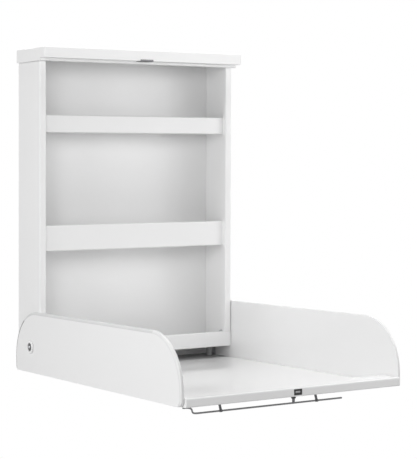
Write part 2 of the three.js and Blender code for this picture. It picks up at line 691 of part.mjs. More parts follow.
const tray = new THREE.Group();
tray.name = 'tray';
piece(tray, 'table_pan', 'powderCoat', tablePan());
piece(tray, 'towel_rail', 'steel', towelRail());
piece(tray, 'latch_case', 'blackPlastic', latchCase());
piece(tray, 'latch_bolt', 'steel', latchBolt());
piece(tray, 'latch_knob', 'steel', latchKnob());
sides.forEach(([name, side]) => {
  piece(tray, `${name}_panel`, 'lacquer', sidePanel(side));
  piece(tray, `${name}_pivot_bush`, 'nylon', pivotRing(side, pivotBore, pivotBore + PIVOT_BUSH_WALL,
    panelInner, panelOuter, [0, 0, 0]));
  piece(tray, `${name}_pivot_ring`, 'powderCoat', pivotRing(side, PIVOT_RING.inner, PIVOT_RING.outer,
    panelOuter + FIT, panelOuter + FIT + PIVOT_RING.height, [0, 0, 0]));
  brackets.forEach((place) => {
    piece(tray, `${name}_${place.name}_bracket`, 'steel', bracket(side, place));
    piece(tray, `${name}_${place.name}_bracket_screw`, 'steel',
      screw(towards(side), [side * bracketSeat, ...place.middle], BRACKET_SCREW_LENGTH));
  });
  piece(tray, `${name}_towel_post`, 'steel', towelPost(side));
});
tray.position.set(0, -pivotFromWall, PIVOT_HEIGHT);
tray.rotation.x = -TRAY_TILT;

const station = new THREE.Group();
station.name = 'changing_station';
station.add(cabinet, tray);
station.position.z = -upperFixingHeight;

const part = new THREE.Group();
part.add(station);
export default part;
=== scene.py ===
"""Looks of a wall-hung baby changing station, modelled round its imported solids.

Sizes are in millimetres. A place is given as x, the distance out from the wall and the height above the
cabinet's underside, or, on the tray, as x, the distance forward of the pivot and the height above it.
"""

import logging
import math
from collections.abc import Iterator, Sequence
from contextlib import contextmanager
from dataclasses import dataclass
from enum import Enum
from functools import cached_property

import bmesh
import bpy
from mathutils import Matrix, Vector


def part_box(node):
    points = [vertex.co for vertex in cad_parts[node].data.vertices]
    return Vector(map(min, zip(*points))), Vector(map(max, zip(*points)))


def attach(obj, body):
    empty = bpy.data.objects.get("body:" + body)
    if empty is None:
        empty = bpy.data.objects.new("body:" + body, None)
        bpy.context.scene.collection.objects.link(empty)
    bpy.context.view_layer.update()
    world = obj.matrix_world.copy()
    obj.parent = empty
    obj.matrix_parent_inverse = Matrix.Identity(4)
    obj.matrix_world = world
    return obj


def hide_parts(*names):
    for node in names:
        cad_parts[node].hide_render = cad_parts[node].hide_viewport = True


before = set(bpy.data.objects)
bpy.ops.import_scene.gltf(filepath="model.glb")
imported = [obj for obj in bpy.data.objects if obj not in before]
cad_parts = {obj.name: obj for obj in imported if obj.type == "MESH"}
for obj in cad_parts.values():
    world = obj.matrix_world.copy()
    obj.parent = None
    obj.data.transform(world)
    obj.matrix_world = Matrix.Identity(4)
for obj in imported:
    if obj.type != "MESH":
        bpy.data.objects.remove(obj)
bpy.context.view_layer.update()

LOG = logging.getLogger("changing_station")

Place = tuple[float, float, float]
Span = float | tuple[float, float] | None
Colour = tuple[float, float, float, float]

MM = 0.001
NEAR = 0.02
SHEET = 1.5
BEND = 3.0
FIT = 0.3
RIM = 0.35
SMOOTH_ANGLE = math.radians(32)
EASE_ANGLE = math.radians(38)
FACING_SHARE = 0.7
MIDDLE = 0.5

FRAME_HEIGHT = 775.0
PIVOT_OUT = 92.0
PIVOT_UP = 32.0
TRAY_TILT = math.radians(1.7)
RAIL_FRONT = 730.5
LATCH_UP = -55.0
LATCH_FACE_HALF = 11.0
LATCH_FACE_HEIGHT = 13.0
KNOB_SLOT_HALF = 3.6
KNOB_SLOT_OUTS = (708.9, 726.1)


class Pick(Enum):
    """What is selected in edit mode."""

    CORNER = "VERT"
    EDGE = "EDGE"
    FACE = "FACE"


class Axis(Enum):
    """The way a sheet faces or a turned piece runs."""

    X = "x"
    OUT = "out"
    UP = "up"

    @property
    def turn(self) -> Matrix:
        """The turn from Blender's upright axis to this one."""
        if self is Axis.X:
            return Matrix(((0, 0, 1, 0), (1, 0, 0, 0), (0, 1, 0, 0), (0, 0, 0, 1)))
        return Matrix.Rotation(math.pi / 2, 4, "X") if self is Axis.OUT else Matrix.Identity(4)


class Body(Enum):
    """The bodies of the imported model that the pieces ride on."""

    CABINET = "cabinet"
    TRAY = "tray"
    LATCH = "latch"

    @property
    def matrix(self) -> Matrix:
        """The way from the body's own millimetres to the shared frame in metres."""
        scale = Matrix.Scale(MM, 4)
        if self is Body.CABINET:
            return Matrix.Translation((0, 0, -FRAME_HEIGHT * MM)) @ scale
        pivot = Matrix.Translation((0, -PIVOT_OUT * MM, (PIVOT_UP - FRAME_HEIGHT) * MM))
        return pivot @ Matrix.Rotation(-TRAY_TILT, 4, "X") @ scale


def spot(place: Place) -> Vector:
    """A place or a move, given as x, out and up, in Blender's axes."""
    return Vector((place[0], -place[1], place[2]))


@dataclass(frozen=True)
class Zone:
    """A box that corners are picked by. Each side is one value, a span, or open."""

    x: Span = None
    out: Span = None
    up: Span = None

    def holds(self, corner: Vector) -> bool:
        """Tell whether a corner lies in the zone.

        Args:
            corner: The corner in Blender's axes.

        Returns:
            True if it lies in every span that is given.
        """
        for span, at in zip((self.x, self.out, self.up), (corner.x, -corner.y, corner.z)):
            if span is None:
                continue
            low, high = span if isinstance(span, tuple) else (span, span)
            if not low - NEAR <= at <= high + NEAR:
                return False
        return True


class Field:
    """A shader value that takes part in Python arithmetic, one Math node for each step."""

    def __init__(self, tree: bpy.types.NodeTree, socket: bpy.types.NodeSocket) -> None:
        """Wrap an output socket of a node tree."""
        self.tree = tree
        self.socket = socket

    def _step(self, operation: str, first: "Field | float", second: "Field | float") -> "Field":
        """Add one Math node.

        Args:
            operation: The Math node's operation.
            first: Its first value.
            second: Its second value.

        Returns:
            The node's result.
        """
        node = self.tree.nodes.new("ShaderNodeMath")
        node.operation = operation
        for socket, value in zip(node.inputs, (first, second)):
            if isinstance(value, Field):
                self.tree.links.new(value.socket, socket)
            else:
                socket.default_value = value
        return Field(self.tree, node.outputs[0])

    def __add__(self, other: "Field | float") -> "Field":
        """Add."""
        return self._step("ADD", self, other)

    __radd__ = __add__

    def __sub__(self, other: "Field | float") -> "Field":
        """Take away."""
        return self._step("SUBTRACT", self, other)

    def __mul__(self, other: "Field | float") -> "Field":
        """Multiply."""
        return self._step("MULTIPLY", self, other)


Value = Field | float | Colour | Place


class Graph:
    """A node tree that is filled one node at a time."""

    def __init__(self, tree: bpy.types.NodeTree) -> None:
        """Start with an empty tree."""
        self.tree = tree
        tree.nodes.clear()

    def node(self, kind: str, sockets: dict[str | int, Value], output: str | int = 0, **settings: object) -> Field:
        """Add a node.

        Args:
            kind: The node's type.
            sockets: Values or links of its input sockets, by name or number.
            output: The output socket that is wanted.
            **settings: The node's own settings, which are set first.

        Returns:
            The wanted output.
        """
        node = self.tree.nodes.new(kind)
        for name, setting in settings.items():
            setattr(node, name, setting)
        for name, value in sockets.items():
            if isinstance(value, Field):
                self.tree.links.new(value.socket, node.inputs[name])
            else:
                node.inputs[name].default_value = value
        return Field(self.tree, node.outputs[output] if node.outputs else None)

    def noise(self, scale: float, detail: float = 2.0, stretch: Place = (1.0, 1.0, 1.0)) -> Field:
        """Add a noise on the piece's own coordinates.

        Args:
            scale: Cells of noise in a metre.
            detail: Layers of finer noise.
            stretch: How many times closer the cells lie along each axis.

        Returns:
            The noise, from 0 to 1.
        """
        place = self.node("ShaderNodeTexCoord", {}, "Object")
        place = self.node("ShaderNodeMapping", {"Vector": place, "Scale": stretch})
        return self.node("ShaderNodeTexNoise", {"Vector": place, "Scale": scale, "Detail": detail})

    def tint(self, amount: Field, first: Colour, second: Colour) -> Field:
        """Blend two colours by an amount."""
        return self.node("ShaderNodeMix", {0: amount, 6: first, 7: second}, 2, data_type="RGBA")

    def relief(self, height: Field) -> Field:
        """Turn a height in millimetres into a surface normal."""
        return self.node("ShaderNodeBump", {"Height": height, "Strength": 1.0, "Distance": MM})


@dataclass(frozen=True)
class Finish:
    """What all finishes share: a name, the record's slot, two close tones and a gloss."""

    name: str
    slot: str
    colour: Colour
    shade: Colour
    roughness: float

    @cached_property
    def material(self) -> bpy.types.Material:
        """The material, made once."""
        material = bpy.data.materials.new(self.name)
        material.use_nodes = True
        graph = Graph(material.node_tree)
        surface = graph.node("ShaderNodeBsdfPrincipled", self.sockets(graph))
        graph.node("ShaderNodeOutputMaterial", {"Surface": surface})
        return material

    def sockets(self, graph: Graph) -> dict[str | int, Value]:
        """The shader's values; each finish gives its own."""
        raise NotImplementedError


@dataclass(frozen=True)
class PowderCoat(Finish):
    """Baked white coat on sheet steel: a fine orange peel over a slightly uneven sheet."""

    peel: float = 0.004
    wave: float = 0.25
    ior: float = 1.5
    cloud_scale: float = 6.0
    peel_scale: float = 650.0
    dust_scale: float = 240.0
    wave_scale: float = 4.5
    dust_share: float = 0.3
    cloud_gloss: float = 0.25
    dust_gloss: float = 0.15

    def sockets(self, graph: Graph) -> dict[str | int, Value]:
        """Give the coat's tone, gloss and relief.

        Args:
            graph: The material's node tree.

        Returns:
            The shader's socket values.
        """
        cloud = graph.noise(self.cloud_scale, 3.0)
        peel = graph.noise(self.peel_scale, 1.0)
        dust = graph.noise(self.dust_scale, 4.0)
        sheet = graph.noise(self.wave_scale, 0.0)
        tone = cloud * (1 - self.dust_share) + dust * self.dust_share
        gloss = (cloud - MIDDLE) * self.cloud_gloss + (dust - MIDDLE) * self.dust_gloss + 1.0
        return {
            "Base Color": graph.tint(tone, self.colour, self.shade),
            "Roughness": gloss * self.roughness,
            "Normal": graph.relief(peel * self.peel + sheet * self.wave),
            "IOR": self.ior,
        }


@dataclass(frozen=True)
class Lacquer(Finish):
    """Sprayed lacquer on board: smoother than the powder coat, with a clear top coat."""

    fibre: float = 0.003
    coat: float = 0.25
    coat_roughness: float = 0.2
    ior: float = 1.5
    cloud_scale: float = 5.0
    cloud_gloss: float = 0.08
    fibre_scale: float = 160.0
    fibre_stretch: Place = (1.0, 0.25, 1.6)
    fibre_share: float = 0.25
    spray_scale: float = 700.0

    def sockets(self, graph: Graph) -> dict[str | int, Value]:
        """Give the lacquer's tone, gloss and faint board fibre.

        Args:
            graph: The material's node tree.

        Returns:
            The shader's socket values.
        """
        cloud = graph.noise(self.cloud_scale, 3.0)
        fibre = graph.noise(self.fibre_scale, 3.0, self.fibre_stretch)
        spray = graph.noise(self.spray_scale, 1.0)
        tone = cloud * (1 - self.fibre_share) + fibre * self.fibre_share
        return {
            "Base Color": graph.tint(tone, self.colour, self.shade),
            "Roughness": self.roughness + (cloud - MIDDLE) * self.cloud_gloss,
            "Normal": graph.relief(fibre * self.fibre + spray * self.fibre),
            "Coat Weight": self.coat,
            "Coat Roughness": self.coat_roughness,
            "IOR": self.ior,
        }


@dataclass(frozen=True)
class BrushedSteel(Finish):
    """Plated steel with drawing lines along one way and faint plating blooms."""

    lines: Place = (0.02, 1.0, 1.0)
    line_scale: float = 2600.0
    line_share: float = 0.4
    line_gloss: float = 0.16
    line_depth: float = 0.004
    bloom_scale: float = 90.0
    bloom_gloss: float = 0.12

    def sockets(self, graph: Graph) -> dict[str | int, Value]:
        """Give the plating's tone, gloss and lines.

        Args:
            graph: The material's node tree.

        Returns:
            The shader's socket values.
        """
        lines = graph.noise(self.line_scale, 2.0, self.lines)
        bloom = graph.noise(self.bloom_scale, 3.0)
        tone = bloom * (1 - self.line_share) + lines * self.line_share
        return {
            "Base Color": graph.tint(tone, self.colour, self.shade),
            "Metallic": 1.0,
            "Roughness": self.roughness + (lines - MIDDLE) * self.line_gloss + (bloom - MIDDLE) * self.bloom_gloss,
            "Normal": graph.relief(lines * self.line_depth),
        }


@dataclass(frozen=True)
class Moulded(Finish):
    """Moulded plastic or rubber with a fine spark-eroded grain."""

    grain: float = 0.012
    grain_scale: float = 1100.0
    grain_share: float = 0.3
    grain_gloss: float = 0.14
    flow_scale: float = 45.0
    ior: float = 1.48

    def sockets(self, graph: Graph) -> dict[str | int, Value]:
        """Give the moulding's tone, gloss and grain.

        Args:
            graph: The material's node tree.

        Returns:
            The shader's socket values.
        """
        grain = graph.noise(self.grain_scale, 2.0)
        flow = graph.noise(self.flow_scale, 2.0)
        tone = flow * (1 - self.grain_share) + grain * self.grain_share
        return {
            "Base Color": graph.tint(tone, self.colour, self.shade),
            "Roughness": self.roughness + (grain - MIDDLE) * self.grain_gloss,
            "Normal": graph.relief(grain * self.grain),
            "IOR": self.ior,
        }


POWDER = PowderCoat("white_powder_coat", "powder_coat", (0.90, 0.90, 0.90, 1), (0.871, 0.871, 0.871, 1), 0.36)
TABLE = PowderCoat("smooth_table_coat", "powder_coat", (0.90, 0.90, 0.90, 1), (0.876, 0.876, 0.876, 1), 0.09,
                   peel=0.001, wave=0.04, ior=1.25)
LACQUER = Lacquer("white_board_lacquer", "white_lacquer", (0.89, 0.89, 0.89, 1), (0.865, 0.865, 0.865, 1), 0.34)
# Painted shade on the side panels' rim, in three greys: lightest on the front arc, mid grey along the top, darkest on
# the rear arc that faces away from the lamps.
RIM_HALF_SHADE = Lacquer("rim_painted_half_shade", "white_lacquer", (0.70, 0.70, 0.70, 1), (0.66, 0.662, 0.665, 1), 0.4)
RIM_LIGHT_SHADE = Lacquer("rim_painted_light_shade", "white_lacquer", (0.80, 0.80, 0.80, 1), (0.77, 0.77, 0.77, 1), 0.4)
RIM_DEEP_SHADE = Lacquer("rim_painted_deep_shade", "white_lacquer", (0.28, 0.28, 0.28, 1), (0.25, 0.25, 0.252, 1), 0.45)
ZINC = BrushedSteel("zinc_plated_steel", "zinc_steel", (0.62, 0.63, 0.64, 1), (0.50, 0.51, 0.53, 1), 0.3)
DARK_STEEL = BrushedSteel("dark_plated_steel", "zinc_steel", (0.16, 0.16, 0.165, 1), (0.10, 0.10, 0.105, 1), 0.34)
BOLT_STEEL = BrushedSteel("satin_bolt_steel", "zinc_steel", (0.33, 0.33, 0.335, 1), (0.26, 0.26, 0.265, 1), 0.34)
ROD_STEEL = BrushedSteel("satin_rod_steel", "zinc_steel", (0.24, 0.24, 0.245, 1), (0.18, 0.18, 0.185, 1), 0.36)
NYLON = Moulded("white_nylon_moulding", "white_nylon", (0.78, 0.775, 0.75, 1), (0.73, 0.725, 0.70, 1), 0.42)
BLACK_PLASTIC = Moulded("black_plastic_moulding", "black_plastic", (0.012, 0.012, 0.012, 1),
                        (0.02, 0.02, 0.021, 1), 0.45)
RUBBER = Moulded("grey_rubber_moulding", "grey_rubber", (0.44, 0.44, 0.44, 1), (0.39, 0.39, 0.395, 1), 0.8,
                 grain=0.03, grain_scale=700.0)
# Painted shade: a dark grey for the table's rear strip, where the cabinet's bottom shades the table.
UNDER_CABINET_SHADE = Moulded("painted_shade_under_cabinet", "powder_coat", (0.42, 0.42, 0.423, 1), (0.37, 0.37, 0.373, 1), 0.6,
                        grain=0.02)


def clear_bench() -> None:
    """Leave edit mode and deselect every object."""
    if bpy.context.mode != "OBJECT":
        bpy.ops.object.mode_set(mode="OBJECT")
    bpy.ops.object.select_all(action="DESELECT")


class Workpiece:
    """One mesh on the bench, worked in its body's millimetres with Blender's own tools."""

    def __init__(self, name: str) -> None:
        """Take up the primitive that was just added."""
        self.obj = bpy.context.active_object
        self.obj.name = self.obj.data.name = name

    @classmethod
    def block(cls, name: str, low: Place, high: Place) -> "Workpiece":
        """Start from a block.

        Args:
            name: The piece's name.
            low: One corner.
            high: The opposite corner.

        Returns:
            The new piece.
        """
        clear_bench()
        near, far = spot(low), spot(high)
        bpy.ops.mesh.primitive_cube_add(size=1, location=(near + far) / 2)
        bpy.context.active_object.scale = [abs(a - b) for a, b in zip(near, far)]
        bpy.ops.object.transform_apply(location=True, rotation=True, scale=True)
        return cls(name)

    @classmethod
    def sheet(cls, name: str, facing: Axis, low: Place, high: Place) -> "Workpiece":
        """Start from a flat sheet with no thickness.

        Args:
            name: The piece's name.
            facing: The way the sheet faces.
            low: One corner.
            high: The opposite corner.

        Returns:
            The new piece.
        """
        clear_bench()
        near, far = spot(low), spot(high)
        bpy.ops.mesh.primitive_plane_add(size=1)
        sheet = bpy.context.active_object
        sheet.matrix_world = facing.turn
        bpy.ops.object.transform_apply(location=True, rotation=True, scale=True)
        sheet.scale = [abs(a - b) or 1.0 for a, b in zip(near, far)]
        sheet.location = (near + far) / 2
        bpy.ops.object.transform_apply(location=True, rotation=True, scale=True)
        return cls(name)

    @classmethod
    def turned(cls, name: str, profile: Sequence[tuple[float, float]], axis: Axis,
               place: Place = (0.0, 0.0, 0.0), sides: int = 40) -> "Workpiece":
        """Start from a circle and draw it out along an axis, wider or narrower at each step.

        Args:
            name: The piece's name.
            profile: Radius and distance along the axis at each step. A profile that does not begin on the
                axis is closed into a ring.
            axis: The axis.
            place: The place that distances are taken from.
            sides: Sides of the circle.

        Returns:
            The new piece.
        """
        clear_bench()
        hollow = profile[0][0] > 0
        path = [*profile, profile[0]] if hollow else [step for step in profile if step[0] > 0]
        radius, start = path[0]
        bpy.ops.mesh.primitive_circle_add(vertices=sides, radius=radius, location=(0, 0, start),
                                          fill_type="NOTHING" if hollow else "NGON")
        bpy.ops.object.transform_apply(location=True, rotation=True, scale=True)
        piece = cls(name)
        with piece.edited(Pick.EDGE if hollow else Pick.FACE):
            bpy.ops.mesh.select_all(action="SELECT")
            for (before, low), (after, high) in zip(path, path[1:]):
                bpy.ops.mesh.extrude_region_move(TRANSFORM_OT_translate={"value": (0, 0, high - low)})
                grow = after / before
                bpy.ops.transform.resize(value=(grow, grow, 1), center_override=(0, 0, high))
        piece.knit()
        piece.obj.data.transform(Matrix.Translation(spot(place)) @ axis.turn)
        return piece

    @classmethod
    def rod(cls, radius: float, start: float, end: float, axis: Axis, place: Place, sides: int = 32) -> "Workpiece":
        """A plain rod, used to bore a hole or to join a shank."""
        return cls.turned("rod", [(0, start), (radius, start), (radius, end), (0, end)], axis, place, sides)

    def take_up(self) -> None:
        """Make this the one selected and active object."""
        clear_bench()
        self.obj.select_set(True)
        bpy.context.view_layer.objects.active = self.obj

    @contextmanager
    def edited(self, kind: Pick) -> Iterator[None]:
        """Hold the piece in edit mode with nothing selected.

        Args:
            kind: What is selected there.

        Yields:
            Nothing; the tools act on the piece.
        """
        self.take_up()
        bpy.ops.object.mode_set(mode="EDIT")
        bpy.ops.mesh.select_mode(type=kind.value)
        bpy.ops.mesh.select_all(action="DESELECT")
        yield
        bpy.ops.object.mode_set(mode="OBJECT")

    def pick(self, kind: Pick, zones: Sequence[Zone], facing: Place | None = None) -> None:
        """Select what lies wholly in one of the zones, in edit mode.

        Args:
            kind: Corners, edges or faces.
            zones: The zones.
            facing: For faces, the way that they have to face.
        """
        mesh = bmesh.from_edit_mesh(self.obj.data)
        parts = {Pick.CORNER: mesh.verts, Pick.EDGE: mesh.edges, Pick.FACE: mesh.faces}[kind]
        for part in parts:
            corners = [part] if kind is Pick.CORNER else part.verts
            if facing is not None and part.normal.dot(spot(facing)) < FACING_SHARE:
                continue
            if any(all(zone.holds(corner.co) for corner in corners) for zone in zones):
                part.select_set(True)
        bmesh.update_edit_mesh(self.obj.data)

    def knit(self) -> None:
        """Merge doubled corners and turn every face outwards."""
        with self.edited(Pick.CORNER):
            bpy.ops.mesh.select_all(action="SELECT")
            bpy.ops.mesh.remove_doubles(threshold=NEAR / 10)
            bpy.ops.mesh.normals_make_consistent(inside=False)

    def fold(self, edge: Zone | Sequence[Zone], *moves: Place) -> None:
        """Draw a sheet's edge out into one flange after another.

        Args:
            edge: The zone or zones of the edge.
            *moves: Each flange's width and way.
        """
        with self.edited(Pick.EDGE):
            self.pick(Pick.EDGE, [edge] if isinstance(edge, Zone) else edge)
            for move in moves:
                bpy.ops.mesh.extrude_region_move(TRANSFORM_OT_translate={"value": spot(move)})

    def grow(self, face: Zone, move: Place) -> None:
        """Draw a face out into a solid."""
        with self.edited(Pick.FACE):
            self.pick(Pick.FACE, [face])
            bpy.ops.mesh.extrude_region_move(TRANSFORM_OT_translate={"value": spot(move)})
            bpy.ops.mesh.select_all(action="SELECT")
            bpy.ops.mesh.normals_make_consistent(inside=False)

    def crown(self, face: Zone, width: float, height: float, steps: int = 6) -> None:
        """Round a flat face's rim, by drawing the face in and out along a quarter ellipse.

        Args:
            face: The zone of the face.
            width: How far in the rounding reaches.
            height: How far out the face moves.
            steps: Steps of the curve.
        """
        angles = [math.pi / 2 * step / steps for step in range(steps + 1)]
        with self.edited(Pick.FACE):
            self.pick(Pick.FACE, [face])
            for before, after in zip(angles, angles[1:]):
                bpy.ops.mesh.inset(thickness=width * (math.cos(before) - math.cos(after)),
                                   depth=height * (math.sin(after) - math.sin(before)))

    def bend(self, radius: float, *edges: Zone, steps: int = 6) -> None:
        """Round fold lines to a bend radius."""
        self._bevel(Pick.EDGE, edges, radius, steps)

    def round_off(self, radius: float, *corners: Zone, steps: int = 12) -> None:
        """Round the corners of a flat sheet."""
        self._bevel(Pick.CORNER, corners, radius, steps)

    def _bevel(self, kind: Pick, zones: Sequence[Zone], radius: float, steps: int) -> None:
        """Round the edges or the corners in some zones.

        Args:
            kind: Edges or corners.
            zones: The zones.
            radius: The rounding's radius.
            steps: Steps of the curve.
        """
        affect = "EDGES" if kind is Pick.EDGE else "VERTICES"
        with self.edited(kind):
            self.pick(kind, zones)
            bpy.ops.mesh.bevel(offset_type="OFFSET", offset=radius, segments=steps, profile=0.5,
                               affect=affect, clamp_overlap=False)

    def press(self, zone: Zone, up: float) -> None:
        """Press the corners in a zone to one height."""
        with self.edited(Pick.CORNER):
            self.pick(Pick.CORNER, [zone])
            bpy.ops.transform.resize(value=(1, 1, 0), center_override=spot((0, 0, up)))

    def score(self, place: Place, normal: Place) -> None:
        """Divide the piece along a plane."""
        with self.edited(Pick.FACE):
            bpy.ops.mesh.select_all(action="SELECT")
            bpy.ops.mesh.bisect(plane_co=spot(place), plane_no=spot(normal))

    def nip_off(self, zone: Zone) -> None:
        """Delete the faces in a zone."""
        with self.edited(Pick.FACE):
            self.pick(Pick.FACE, [zone])
            bpy.ops.mesh.delete(type="FACE")

    def shift(self, move: Place, *zones: Zone) -> None:
        """Move the corners in some zones."""
        with self.edited(Pick.CORNER):
            self.pick(Pick.CORNER, zones)
            bpy.ops.transform.translate(value=spot(move))

    def modify(self, kind: str, **settings: object) -> None:
        """Add a modifier and apply it.

        Args:
            kind: The modifier's type.
            **settings: Its settings.
        """
        self.take_up()
        bpy.ops.object.modifier_add(type=kind)
        modifier = self.obj.modifiers[-1]
        for name, setting in settings.items():
            setattr(modifier, name, setting)
        bpy.ops.object.modifier_apply(modifier=modifier.name)

    def thicken(self, outer: Place, thickness: float = SHEET) -> None:
        """Give a sheet its thickness, inwards from its outer skin.

        Args:
            outer: The way that the outer skin of its largest face looks.
            thickness: The sheet's thickness.
        """
        with self.edited(Pick.FACE):
            bpy.ops.mesh.select_all(action="SELECT")
            bpy.ops.mesh.normals_make_consistent(inside=False)
        largest = max(self.obj.data.polygons, key=lambda face: face.area)
        if largest.normal.dot(spot(outer)) < 0:
            self.obj.data.flip_normals()
        self.modify("SOLIDIFY", thickness=thickness, offset=-1.0, use_even_offset=True)

    def ease(self, width: float = RIM, steps: int = 2) -> None:
        """Ease all sharp edges."""
        self.modify("BEVEL", width=width, segments=steps, limit_method="ANGLE", angle_limit=EASE_ANGLE)

    def cut(self, *tools: "Workpiece") -> None:
        """Cut other solids out of this one."""
        self._combine("DIFFERENCE", tools)

    def join(self, *others: "Workpiece") -> None:
        """Weld other solids to this one."""
        self._combine("UNION", others)

    def _combine(self, operation: str, others: Sequence["Workpiece"]) -> None:
        """Combine this solid with others, which are used up.

        Args:
            operation: The Boolean modifier's operation.
            others: The other solids.
        """
        for other in others:
            self.modify("BOOLEAN", operation=operation, solver="EXACT", object=other.obj)
            bpy.data.objects.remove(other.obj)

    def copy(self, name: str, move: Place = (0.0, 0.0, 0.0)) -> "Workpiece":
        """Make a copy with its own mesh.

        Args:
            name: The copy's name.
            move: How far the copy lies from this piece.

        Returns:
            The copy.
        """
        self.take_up()
        bpy.ops.object.duplicate()
        twin = Workpiece(name)
        twin.obj.data.transform(Matrix.Translation(spot(move)))
        return twin

    def mirrored(self, name: str) -> "Workpiece":
        """Make a copy for the other side.

        Args:
            name: The copy's name.

        Returns:
            The mirrored copy.
        """
        twin = self.copy(name)
        twin.obj.data.transform(Matrix.Scale(-1, 4, (1, 0, 0)))
        twin.obj.data.flip_normals()
        return twin

    def paint(self, finish: Finish, facing: Place | None, *zones: Zone) -> None:
        """Give the faces in some zones a finish of their own.

        Args:
            finish: The finish.
            facing: The way that the faces look, or None for all.
            *zones: The zones.
        """
        if not self.obj.data.materials:
            self.obj.data.materials.append(None)
        self.obj.data.materials.append(finish.material)
        with self.edited(Pick.FACE):
            self.pick(Pick.FACE, zones, facing)
            self.obj.active_material_index = len(self.obj.data.materials) - 1
            bpy.ops.object.material_slot_assign()

    def hand_over(self, body: Body, finish: Finish, node: str | None = None) -> None:
        """Set the finished piece in the shared frame, dress it and let it stand for its solid.

        Args:
            body: The body it rides on.
            finish: Its finish.
            node: The solid it stands for, if not the one of its own name.
        """
        node = node or self.obj.name.removesuffix(".made")
        mesh = self.obj.data
        mesh.transform(body.matrix)
        if mesh.materials:
            mesh.materials[0] = finish.material
        else:
            mesh.materials.append(finish.material)
        self.take_up()
        bpy.ops.object.shade_smooth_by_angle(angle=SMOOTH_ANGLE)
        self.modify("WEIGHTED_NORMAL", keep_sharp=True, mode="FACE_AREA", weight=50)
        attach(self.obj, body.value)
        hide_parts(node)
        LOG.info("%s: %d faces on %s", self.obj.name, len(mesh.polygons), body.value)


def made(node: str) -> str:
    """The name of the piece that stands for a solid."""
    return f"{node}.made"


def hand_over_pair(right: Workpiece, stem: str, body: Body, finish: Finish) -> None:
    """Mirror a right-hand piece, and hand both over.

    Args:
        right: The right-hand piece.
        stem: The pair's name without its side.
        body: The body they ride on.
        finish: Their finish.
    """
    left = right.mirrored(made(f"left_{stem}"))
    right.obj.name = made(f"right_{stem}")
    for piece in (left, right):
        piece.hand_over(body, finish)


def dome(radius: float, height: float, base: float, steps: int = 5) -> list[tuple[float, float]]:
    """Profile of a domed head, from its middle to its rim.

    Args:
        radius: The head's radius.
        height: Its height, negative if it rises against the axis.
        base: Where its rim lies along the axis.
        steps: Steps of the curve.

    Returns:
        Radius and distance along the axis at each step.
    """
    angles = [math.pi / 2 * step / steps for step in range(steps + 1)]
    return [(radius * math.sin(a), base + height * math.cos(a)) for a in angles]


@dataclass
class CrossScrew:
    """A domed screw with a cross recess, driven along an axis."""

    shank: float
    head: float
    head_height: float
    length: float
    recess: float = 0.55
    wing: float = 0.13
    recess_floor: float = 0.35
    eased: float = 0.12

    def make(self, name: str, axis: Axis, seat: Place) -> Workpiece:
        """Turn one screw and sink its cross recess.

        Args:
            name: The screw's name.
            axis: The axis it is driven along.
            seat: Where its head sits.

        Returns:
            The screw.
        """
        profile = [*dome(self.head, -self.head_height, 0.0), (self.shank, 0.0),
                   (self.shank, self.length - self.shank), (self.shank / 3, self.length), (0.0, self.length)]
        screw = Workpiece.turned(name, profile, Axis.UP, sides=28)
        arm, wing = self.head * self.recess, self.head * self.wing
        for across, along in ((arm, wing), (wing, arm)):
            screw.cut(Workpiece.block("recess", (-across, -along, -2 * self.head_height),
                                      (across, along, -self.head_height * self.recess_floor)))
        screw.ease(self.eased, 1)
        screw.obj.data.transform(Matrix.Translation(spot(seat)) @ axis.turn)
        return screw


def small_screw(length: float) -> CrossScrew:
    """The small screw of the lid strips and the corner brackets."""
    return CrossScrew(shank=1.8, head=3.6, head_height=2.2, length=length)


